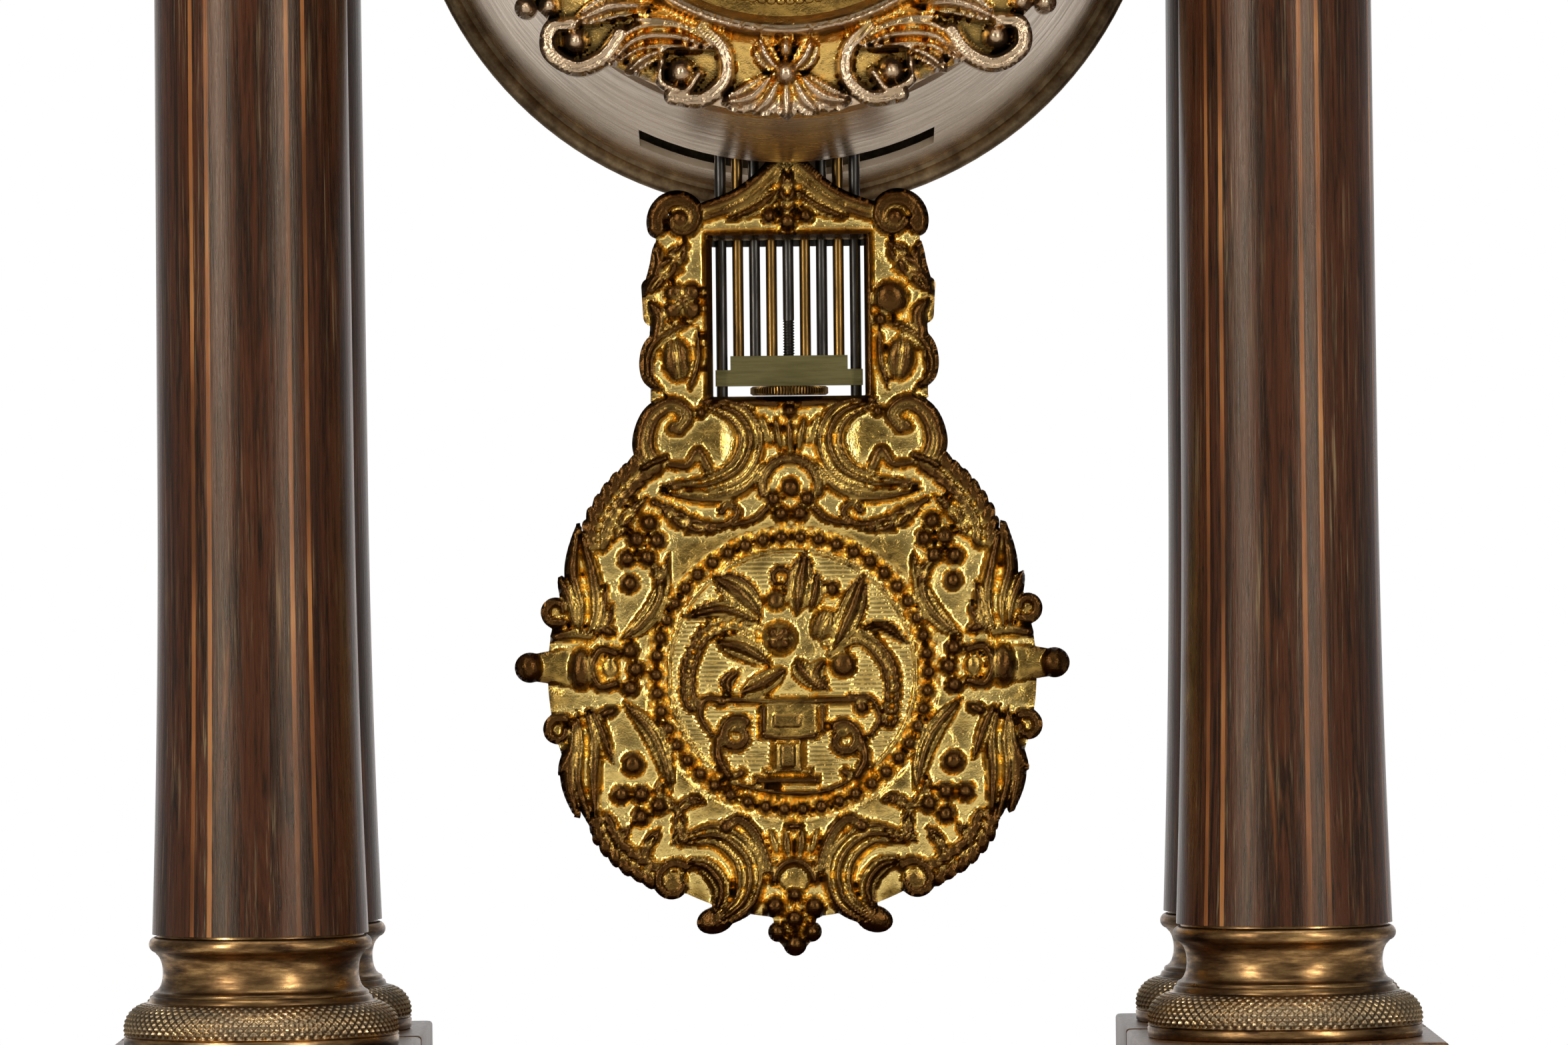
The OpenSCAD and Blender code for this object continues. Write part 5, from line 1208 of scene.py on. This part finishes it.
def dull_lead():
    """Poured lead: blue grey gone dull, with soft folds where it cooled."""
    made, tree, point = start_finish("poured_lead_dull")
    fold = add(tree, "TexNoise", {"Vector": point, "Scale": 1 / (7 * MM), "Detail": 5.0,
                                  "Distortion": 0.6})
    tone = add(tree, "ValToRGB", {"Fac": fold["Fac"]}, [(0.3, "#35332f"), (0.7, "#5d5a54")])
    bump = add(tree, "Bump", {"Height": fold["Fac"], "Strength": 0.3, "Distance": 0.4 * MM})
    return end_finish(made, Base_Color=tone["Color"], Metallic=0.6, Roughness=0.6, Normal=bump[0])


dress(dull_lead(), "bob_backing")
backing_low, backing_high = box_mm("bob_backing")
bob_x = (backing_low[0] + backing_high[0]) / 2
bob_z = (backing_low[2] + backing_high[2]) / 2
CAST_T = 2.4
BEAD_N = 46
BEAD_RING_R = 24.4
BEAD_R = 1.62
WINDOW_HALF_W = 13.6
WINDOW_SILL = 49.6
WINDOW_HEAD = 77.6
PLATE_R = 43.7
FIELD_R = 21.2
bob = Casting((-52, -53), (52, 101), 0.42)
bob_r = np.hypot(bob.x, bob.z)
bob.lay(everywhere, PLATE_R - bob_r, np.interp(
    bob_r, [0, 21.3, 21.5, 22.9, 23.1, 25.7, 25.9, 27.3, 28.6, 30.6, 40, PLATE_R],
    [0.8, 0.3, 0.3, 0.25, 0.0, 0.0, 0.3, 0.6, 0.6, 0.5, 0.4, 0.15]))
bob.plain[bob_r < FIELD_R] = 1.0
bob.stroke([(0, -38), (0, -41), (0, -46.4)], 6.4, 3.2, 0.0, 0.2)
bob.band(22.1, 0.5, 0.3, 0.3)
bob.band(26.9, 0.6, 0.3, 0.3)
for k in range(BEAD_N):
    a = (k + 0.5) * 2 * math.pi / BEAD_N
    bob.ball((BEAD_RING_R * math.sin(a), BEAD_RING_R * math.cos(a)), BEAD_R, 1.35, 0.1)


def garland(points, draw, size=(0.8, 1.6)):
    """A spray of laurel: pairs of overlapping buds of half widths size, leaning along the path."""
    path = curve(points, 1.25 * size[1])
    for here, there in zip(path[:-1], path[1:]):
        way = (there - here) / np.hypot(*(there - here))
        across = np.array([-way[1], way[0]])
        lean = math.degrees(math.atan2(way[1], way[0])) - 90
        for side in (1, -1):
            draw(here + across * side * size[0], size, lean - side * 24, 1.2, 0.6, 0.15)


def two_buds(*bud):
    """A bud on the left and its mirror image on the right."""
    bob.both(bob.bud, *bud)


# Bob, outer ornament: the left half, each shape mirrored to the right.
# Sprays of acanthus above and below the side boss, each a path and its half width.
for path, w in (
        ([(-36.4, 7.4), (-35.0, 12.0), (-35.6, 18.0), (-37.4, 25.6)], 1.9),
        ([(-37.8, 7.6), (-37.6, 12.5), (-39.0, 19.0), (-37.9, 27.3)], 1.7),
        ([(-38.8, 8.4), (-39.4, 12.5), (-41.4, 18.0)], 1.6),
        ([(-35.4, 7.2), (-33.9, 10.5), (-33.0, 16.4)], 1.3),
        ([(-34.6, 7.0), (-32.8, 9.5), (-31.9, 12.8)], 1.0),
        ([(-37.0, -6.2), (-35.6, -12.0), (-35.8, -18.0), (-35.4, -26.0)], 1.8),
        ([(-38.6, -6.4), (-38.0, -12.0), (-38.4, -19.0), (-36.0, -27.2)], 1.7),
        ([(-39.2, -8.0), (-39.4, -13.0), (-41.8, -17.6)], 1.6),
        ([(-39.0, -12.0), (-40.2, -18.0), (-38.6, -25.6)], 1.5),
        ([(-36.0, -6.0), (-34.4, -9.5), (-32.2, -15.6)], 1.4)):
    bob.both(bob.plume, path, w, 1, 1.5)
# The side boss between two scrolls, with a shell and three berries inside it.
bob.scroll_pair((-42.0, 11.6), 3.4, 0.85, -60, -1, 1.1, 1.6, eye=0.5, boss=0.5)
bob.scroll_pair((-41.8, -9.8), 3.4, 0.85, 60, 1, 1.1, 1.6, eye=0.5, boss=0.5)
bob.both(bob.stroke, [(-36.4, 7.2), (-39.2, 7.4), (-42.0, 7.0)], 1.5, 1.2, 1.2)
bob.both(bob.stroke, [(-38.0, 1.2), (-42, 1.5), (-45.8, 1.5)], 3.8, 2.5, 0.6)
bob.both(bob.bud, (-37.6, 1.2), (2.6, 4.2), 0, 1.9)
bob.both(bob.ball, (-46.9, 1.5), 2.7, 1.9, 0.2)
bob.both(bob.stroke, [(-31.6, 4.0), (-34.4, 4.4), (-35.8, 1.2), (-34.4, -2.0), (-31.6, -1.6)],
         1.2, 1.2, 1.6, 0.5)
bob.both(bob.bud, (-32.6, 1.2), (2.0, 2.3), 0, 1.0, 0.6)
for spot in ((-29.0, 4.3), (-28.0, 1.0), (-29.0, -2.4)):
    bob.both(bob.ball, spot, 1.8, 1.4, 0.8)
bob.both(bob.bud, (-33.2, 8.0), (2.3, 1.3), -20, 1.6, 0.5)
bob.both(bob.bud, (-33.0, -6.6), (2.3, 1.3), 20, 1.6, 0.5)
# Grapes, leaves and laurel on the upper shoulder, and the sweeps along the bead ring.
for spot in ((-25.3, 27.1), (-27.5, 24.2), (-23.9, 24.0), (-25.7, 21.0), (-29.3, 20.8),
             (-28.9, 16.4)):
    bob.both(bob.ball, spot, 1.95, 1.7, 0.6)
bob.both(bob.leaf, [(-23.2, 30.2), (-18.2, 27.0), (-11.6, 25.8)], 2.3, 1.5, 4, 0.6)
bob.both(bob.stroke, [(-34.0, 26.4), (-31.4, 31.0), (-27.4, 35.6)], 1.7, 1.5, 0.4)
garland([(-27.0, 36.4), (-31.2, 32.2), (-34.2, 27.0), (-34.4, 22.0)], two_buds, (1.3, 2.4))
bob.both(bob.leaf, [(-31.4, 24.4), (-29.4, 28.2), (-25.4, 32.0)], 1.9, 1.5, 3, 0.6)
bob.both(bob.leaf, [(-24.8, 20.0), (-23.6, 17.2), (-23.4, 14.0)], 1.6, 1.4, 2, 0.6)
bob.both(bob.plume, [(-21.8, 21.6), (-23.8, 13.4), (-26.6, 9.2), (-30.4, 6.4)], 2.0, 2, 0.9, 0.6)
bob.both(bob.plume, [(-30.2, -4.8), (-25.8, -9.6), (-23.4, -14.4), (-21.8, -21.0)], 2.0, 2, 0.9, 0.6)
# Grapes, leaves and laurel on the lower shoulder.
bob.both(bob.ball, (-28.6, -16.0), 2.3, 1.7, 0.6)
for spot in ((-30.8, -21.4), (-27.2, -21.4), (-24.2, -23.4), (-27.2, -25.4)):
    bob.both(bob.ball, spot, 2.0, 1.7, 0.6)
for path in ([(-20.8, -24.4), (-23.6, -21.8), (-24.0, -18.6)],
             [(-20.8, -24.4), (-18.4, -22.6), (-15.4, -23.0)],
             [(-20.8, -24.4), (-20.4, -27.6), (-22.0, -30.4)],
             [(-24.0, -27.8), (-26.4, -31.0), (-26.8, -35.2)],
             [(-29.4, -27.4), (-31.2, -29.4), (-31.0, -32.6)]):
    bob.both(bob.leaf, path, 1.6, 1.4, 2, 0.6)
bob.both(bob.stroke, [(-34.6, -27.4), (-31.4, -32.0), (-26.0, -35.6)], 1.5, 1.4, 0.3)
garland([(-25.6, -35.4), (-30.0, -32.6), (-33.4, -28.6), (-34.4, -24.6)], two_buds, (1.2, 2.2))
# Scrolls and great leaves at the foot, and a bunch of grapes hanging from a bow between them.
bob.scroll_pair((-21.6, -37.0), 4.6, 0.8, 50, 1, 1.2, 1.6, eye=0.55, boss=0.8)
bob.both(bob.plume, [(-21.4, -30.2), (-13.6, -28.9), (-8.4, -33.4), (-8.8, -40.2), (-14.6, -45.0)],
         3.2, 3, 1.6)
bob.both(bob.plume, [(-19.8, -33.4), (-15.4, -34.6), (-13.0, -38.4), (-14.4, -43.2)], 1.9, 2, 1.5,
         0.5)
bob.both(bob.bud, (-14.2, -44.0), (3.4, 2.4), 15, 1.3)
bob.both(bob.stroke, [(-12.0, -27.2), (-9.6, -26.2), (-6.8, -29.0), (-4.6, -34.8)], 1.2, 1.3, 1.4,
         0.7, 0.3)
bob.both(bob.ball, (-12.1, -27.4), 1.7, 1.5, 0.7)
bob.bud((0, -27.4), (1.9, 0.9), 0, 1.2, 0.7)
bob.both(bob.bud, (-1.3, -30.6), (1.2, 2.8), 6, 1.0, 0.6)
bob.both(bob.bud, (-3.6, -30.2), (1.0, 2.6), 16, 0.8, 0.6)
bob.stroke(arc((0, -37.2), 3.6, 5, 175, 12), 1.1, 1.1, 1.3, 0.6)
bob.ball((0, -36.6), 3.2, 0.9, 0.5)
for x, z, r in ((0, -39.6, 1.8), (-3.5, -41.6, 2.1), (3.5, -41.8, 2.1), (0, -44.0, 2.0),
                (-3.0, -46.2, 1.8), (3.0, -46.2, 1.8), (0, -48.4, 2.1)):
    bob.ball((x, z), r, 1.7, 0.4)

# Bob, above the bead ring: an arch of berries between two spirals and two ribbed shoulder scrolls.
bob.panel([(-23.4, 28), (23.4, 50)], 0.0, 1, 0.38)
bob.both(bob.panel, [(-25.0, 36.4), (-10.6, 47.2)], 0.35, 2.0, 0.4)
bob.both(bob.stroke, [(-24.4, 64.0), (-24.9, 69.4)], 1.6, 1.4, 0.2)
bob.both(bob.plume, [(-23.6, 32.6), (-14.8, 31.4), (-8.2, 33.2), (-4.8, 37.6)], 1.5, 1, 1.2, 0.5)
bob.both(bob.plume, [(-15.2, 48.6), (-9.4, 46.6), (-7.0, 42.0), (-9.2, 36.6), (-15.4, 33.8),
                     (-22.8, 33.8)], 3.0, 3, 1.5, 0.4, 0.42)
bob.both(bob.stroke, [(-21.6, 37.6), (-18.4, 37.4), (-16.4, 39.8), (-14.8, 37.0)], 1.0, 1.3, 1.0, 0.6)
bob.both(bob.stroke, [(-24.6, 37.4), (-26.0, 41.4), (-24.6, 46.0), (-21.2, 48.2), (-18.4, 46.4),
                      (-19.8, 43.8)], 2.4, 1.5, 1.5, 0.4, 0.35)
bob.both(bob.bud, (-20.6, 44.2), (1.9, 1.6), 30, 1.2, 0.5)
bob.both(bob.stroke, [(-26.3, 37.0), (-24.4, 38.0), (-22.2, 38.8)], 0.9, 0.8, 1.8, 0.3)
bob.both(bob.ball, (-15.8, 46.8), 1.3, 1.2, 0.6)
bob.ball((0, 46.9), 1.6, 1.5, 0.6)
for k in range(-3, 4):
    bob.bud((k * 2.1, 42.6 + 0.22 * k * k), (1.05, 3.6 - 0.25 * abs(k)), -k * 9,
            1.1 - 0.13 * abs(k), 0.6)
bob.both(bob.stroke, [(-13.6, 49.2), (-8, 48.4), (-2.4, 48.0)], 0.6, 0.7, 0.8, 0.5)
bob.stroke(arc((0, 33.4), 5.0, -12, 192, 20), 1.25, 1.25, 1.5, 0.5, 0.4)
for spot, r in (((0, 33.2), 2.1), ((3.1, 31.3), 1.8), ((1.7, 28.6), 1.8)):
    bob.both(bob.ball, spot, r, 1.6, 0.6)
bob.both(bob.stroke, [(-24.4, 30.8), (-17.4, 27.6), (-12.2, 26.6), (-9.4, 28.6), (-11.0, 30.4),
                      (-12.4, 29.0)], 0.8, 0.9, 1.2, 0.6, 0.2)
bob.both(bob.stroke, [(-4.2, 29.6), (-6.4, 27.6), (-10.2, 26.6)], 0.9, 0.7, 1.2, 0.6)

# Bob, the window's frame: rosettes and buds on the sides, an ogee top between two volutes.
bob.panel([(-24.8, 49), (24.8, 66)], 0.0, 1, 0.38)
bob.panel([(-23.6, 65), (23.6, 80)], 0.0, 1, 0.38)
beside = np.maximum.reduce([np.abs(bob.x) - WINDOW_HALF_W, WINDOW_SILL - bob.z, bob.z - WINDOW_HEAD])
bob.lay(everywhere, 1.8 - np.abs(beside), 0.4 + 1.1 * np.clip(1 - np.abs(beside - 0.9) / 0.9, 0, 1))
bob.both(bob.leaf, [(-18.4, 76.6), (-21.6, 72.6), (-25.4, 68.0)], 2.8, 1.5, 3, 0.5)
bob.both(bob.plume, [(-23.4, 77.2), (-23.2, 73.0), (-25.4, 68.2)], 1.6, 2, 1.2)
bob.both(bob.plume, [(-24.8, 66.6), (-23.0, 63.6), (-24.4, 58.0)], 1.7, 1, 1.2)
bob.both(bob.plume, [(-17.0, 62.8), (-20.4, 61.8), (-24.6, 58.6), (-25.2, 53.4), (-22.2, 50.4)],
         1.5, 2, 1.3)
bob.both(bob.plume, [(-16.2, 62.0), (-16.4, 56.0), (-17.8, 50.6)], 1.1, 1, 1.1, 0.5)
bob.rosette((-18.9, 66.7), 4.1, 4, 1.6, 0.5, 45)
bob.bud((18.3, 67.0), (3.4, 3.5), 0, 1.7, 0.5)
bob.ball((16.5, 63.2), 1.5, 1.3, 0.7)
bob.both(bob.bud, (-20.0, 56.3), (3.0, 4.4), 8, 1.6, 0.5, 0.22)
bob.scroll_pair((-19.2, 81.4), 6.2, 1.0, 200, -1, 1.9, 1.6, eye=0.34)
bob.both(bob.stroke, [(-15.2, 82.4), (-9.6, 84.4), (-5.2, 87.2), (-0.6, 91.6)], 1.9, 2.2, 1.2, 0.4,
         0.3)
bob.both(bob.stroke, [(-14, 80.4), (-7, 81.4), (0, 83.0)], 2.6, 3.6, 0.0, 0.4)
bob.both(bob.plume, [(-1.6, 86.4), (-5.2, 83.6), (-10.8, 81.2)], 1.6, 2, 1.2, 0.5)
bob.leaf([(0, 82.2), (0, 86), (0, 91.4)], 2.4, 1.6, 3, 0.6)
for spot, r in (((3.3, 81.9), 1.7), ((0, 80.8), 1.9)):
    bob.both(bob.ball, spot, r, 1.5, 0.6)
bob.panel([(-2.4, 86), (2.4, 99.8)], 0.2, 0.6, 0.5)
bob.open(-beside)

# Bob, the vase inside the beads: lip, bowl, stem and foot, then its handles.
bob.stroke([(-11.2, -4.6), (-1, -5.0), (11.0, -4.8)], 0.9, 0.9, 1.1, 0.7)
bob.panel([(-6.4, -11.8), (5.1, -5.0)], 1.1, 0.9, 0.6)
bob.both(bob.panel, [(-6.2, -11.0), (-4.4, -5.4)], 1.45, 0.6, 0.6)
bob.panel([(-3.8, -9.8), (1.8, -6.8)], 1.4, 0.5, 0.6)
bob.stroke([(-5.0, -11.2), (-0.7, -11.6), (3.8, -11.2)], 0.8, 0.8, 1.4, 0.6)
bob.panel([(-4.2, -18.4), (2.4, -11.4)], 0.9, 1.2, 0.6)
bob.panel([(-2.4, -17.2), (0.6, -12.4)], 1.2, 0.4, 0.6)
bob.panel([(-5.6, -18.6), (3.8, -16.6)], 0.9, 1.0, 0.5)
bob.panel([(-7.2, -20.2), (5.0, -18.0)], 1.0, 0.8, 0.6)
bob.volute((-10.0, -11.0), 4.3, 1.1, 60, 1, 1.5, 1.6, 0.5, 0.4, 0.5)
bob.volute((9.2, -12.0), 4.3, 1.1, 120, -1, 1.5, 1.6, 0.5, 0.4, 0.5)
bob.stroke([(-13.2, -11.6), (-13.4, -14.8), (-11.6, -18.2)], 1.3, 1.1, 1.4, 0.5)
bob.stroke([(12.4, -12.6), (12.8, -15.6), (11.4, -18.4)], 1.3, 1.1, 1.4, 0.5)
bob.stroke([(-12.8, -4.6), (-15.6, -4.6), (-16.4, -7.6), (-14.4, -11.0)], 1.1, 0.6, 1.2, 0.5)
bob.stroke([(10.2, -4.2), (14.2, -4.8), (15.5, -8.4), (14.0, -11.2)], 0.8, 0.6, 1.2, 0.5)
bob.ball((-12.7, -4.8), 1.4, 1.3, 0.6)
bob.ball((12.4, -6.2), 1.6, 1.3, 0.6)
bob.stroke([(-11.4, -19.4), (-3, -21.2), (6, -21.0), (14, -16.8)], 0.7, 0.6, 0.9, 0.4)
bob.both(bob.bud, (-9.8, -18.0), (1.8, 1.1), 25, 1.0, 0.4)
# Bob, flowers, buds and leaves in the vase, with a spray of laurel hanging on each side.
bob.bud((-1.0, 5.0), (11.0, 9.5), 0, 0.5, 0.6)
bob.bud((-2.3, 6.3), (3.5, 3.4), 0, 1.5, 0.9)
bob.rosette((-2.3, 6.3), 2.4, 4, 0.9, 1.8, 45)
bob.bud((-2.8, 13.0), (2.2, 2.3), 0, 1.4, 0.6)
bob.stroke(arc((-1.8, 17.2), 1.5, -60, 220, 12), 0.8, 0.8, 1.3, 0.5)
bob.bud((5.6, 8.6), (2.6, 3.5), -24, 1.5, 0.6, 0.2)
bob.bud((7.3, 15.0), (1.5, 1.7), 0, 1.3, 0.6)
bob.bud((9.1, 1.5), (2.7, 2.6), 0, 1.5, 0.7)
for path, w in (([(-5.4, 10.2), (-9.2, 14.4), (-13.6, 17.2)], 2.4),
                ([(-5.8, 9.2), (-12.2, 11.6), (-19.0, 10.4)], 1.4),
                ([(-4.0, 1.8), (-8.6, 4.6), (-13.4, 5.6)], 2.0),
                ([(0.9, 10.6), (1.6, 16.0), (2.5, 21.4)], 2.2),
                ([(3.4, 11.4), (4.2, 14.4), (4.6, 18.0)], 1.5),
                ([(7.6, 4.6), (10.6, 11.0), (12.8, 17.2)], 2.1),
                ([(12.6, 8.0), (16.6, 8.2), (20.6, 5.2)], 1.0),
                ([(-1.2, 0.8), (-5.0, -1.6), (-9.2, -3.4)], 1.8),
                ([(0.8, 2.6), (2.0, 0.2), (5.2, -3.0)], 1.7),
                ([(-9.6, 0.6), (-11.6, -1.4), (-11.2, -3.6)], 1.2),
                ([(5.8, 2.4), (4.2, -0.2), (6.6, -3.2)], 1.4)):
    bob.plume(path, w * 1.25, 2, 1.3, 0.8)
garland([(-6.6, 7.6), (-10.9, 9.1), (-15.8, 6.8), (-18.2, 1.8), (-18.6, -3.1), (-17.3, -6.8)],
        bob.bud)
garland([(6.6, 4.4), (11.9, 6.4), (15.8, 3.5), (17.8, -1.5), (17.2, -10.8)], bob.bud)
bob_gilt = worn_gilt("gilt_bronze_bob_worn", "#5a421c", "#dcb35c", "#f6d47e", "#4e3015", 0.28, True)
solid_casting("bob_gilt_casting", bob, (bob_x, bob_z), backing_low[1] - CAST_T, backing_low[1],
              bob_gilt, "bob", "bob_casting")

# Studio
# A pale table in a white surround, two tall soft strips beside the camera and a soft overhead panel.
# The camera stands level in front of the pendulum with a long lens, rolled a little about its axis.
TABLE = 2000.0
CAMERA_PLACE = (2.8, -1728.5, 159.2)
LENS = 222.0
ROLL = 0.6


def white_surround():
    """A white sweep behind the clock in a dim room, with an even soft light on dull surfaces.

    The camera and glass see white; a gloss sees the sweep where it looks to the back, along Y."""
    world = bpy.data.worlds.new("white_surround")
    world.use_nodes = True
    tree = world.node_tree
    tree.nodes.clear()
    path = add(tree, "LightPath")
    way = add(tree, "SeparateXYZ", {0: add(tree, "TexCoord")["Generated"]})
    sweep = add(tree, "MapRange", {"Value": way["Y"], "From Min": 0.75, "From Max": 0.97,
                                   "To Min": 0.25, "To Max": 1.0})
    dull = add(tree, "Mix", {0: path["Is Glossy Ray"], 2: 0.28, 3: sweep[0]})
    clear = add(tree, "Math", {0: path["Is Camera Ray"], 1: path["Is Transmission Ray"]},
                operation="MAXIMUM")
    strength = add(tree, "Mix", {0: clear[0], 2: dull[0], 3: 1.0})
    light = add(tree, "Background", {"Color": (1, 1, 1, 1), "Strength": strength[0]})
    add(tree, "OutputWorld", {"Surface": light[0]})
    bpy.context.scene.world = world


def pale_table():
    """Matt white laminate with the faintest cloudiness."""
    made, tree, point = start_finish("matt_white_table")
    cloud = add(tree, "TexNoise", {"Vector": point, "Scale": 1 / (250 * MM), "Detail": 3.0})
    tone = add(tree, "ValToRGB", {"Fac": cloud["Fac"]}, [(0.3, "#e6e5e2"), (0.7, "#ecebe8")])
    return end_finish(made, Base_Color=tone["Color"], Roughness=0.7)


def soft_panel(name, place, turn, size, radiance):
    """An area lamp of one radiance: its power is radiance times pi times its area.

    place and size are in mm, turn in degrees."""
    lamp = bpy.data.lights.new(name, "AREA")
    lamp.shape = "RECTANGLE"
    lamp.size, lamp.size_y = (s * MM for s in size)
    lamp.energy = radiance * math.pi * lamp.size * lamp.size_y
    panel = bpy.data.objects.new(name, lamp)
    panel.location = [p * MM for p in place]
    panel.rotation_euler = [math.radians(t) for t in turn]
    panel.visible_camera = False
    bpy.context.scene.collection.objects.link(panel)


white_surround()
table_corners = np.array([[-1, -1, 0], [1, -1, 0], [1, 1, 0], [-1, 1, 0]]) * TABLE / 2 * MM
table_mesh = bpy.data.meshes.new("table_top")
table_mesh.from_pydata(table_corners.tolist(), [], [(0, 1, 2, 3)])
table_mesh.materials.append(pale_table())
table = bpy.data.objects.new("table_top", table_mesh)
bpy.context.scene.collection.objects.link(table)
soft_panel("strip_left", (-850, -1000, 680), (90, 0, -40), (150, 1100), 19.0)
soft_panel("strip_right", (760, -1050, 680), (90, 0, 36), (150, 1100), 16.0)
soft_panel("overhead", (0, -300, 1500), (12, 0, 0), (1400, 1000), 1.7)
lens = bpy.data.cameras.new("photo_camera")
lens.sensor_fit = "HORIZONTAL"
lens.sensor_width = 36.0
lens.lens = LENS
lens.clip_end = 100.0
camera = bpy.data.objects.new("photo_camera", lens)
camera.location = [c * MM for c in CAMERA_PLACE]
camera.rotation_euler = (math.radians(90), math.radians(ROLL), 0)
bpy.context.scene.collection.objects.link(camera)
bpy.context.scene.camera = camera
bpy.context.scene.view_settings.view_transform = "Standard"
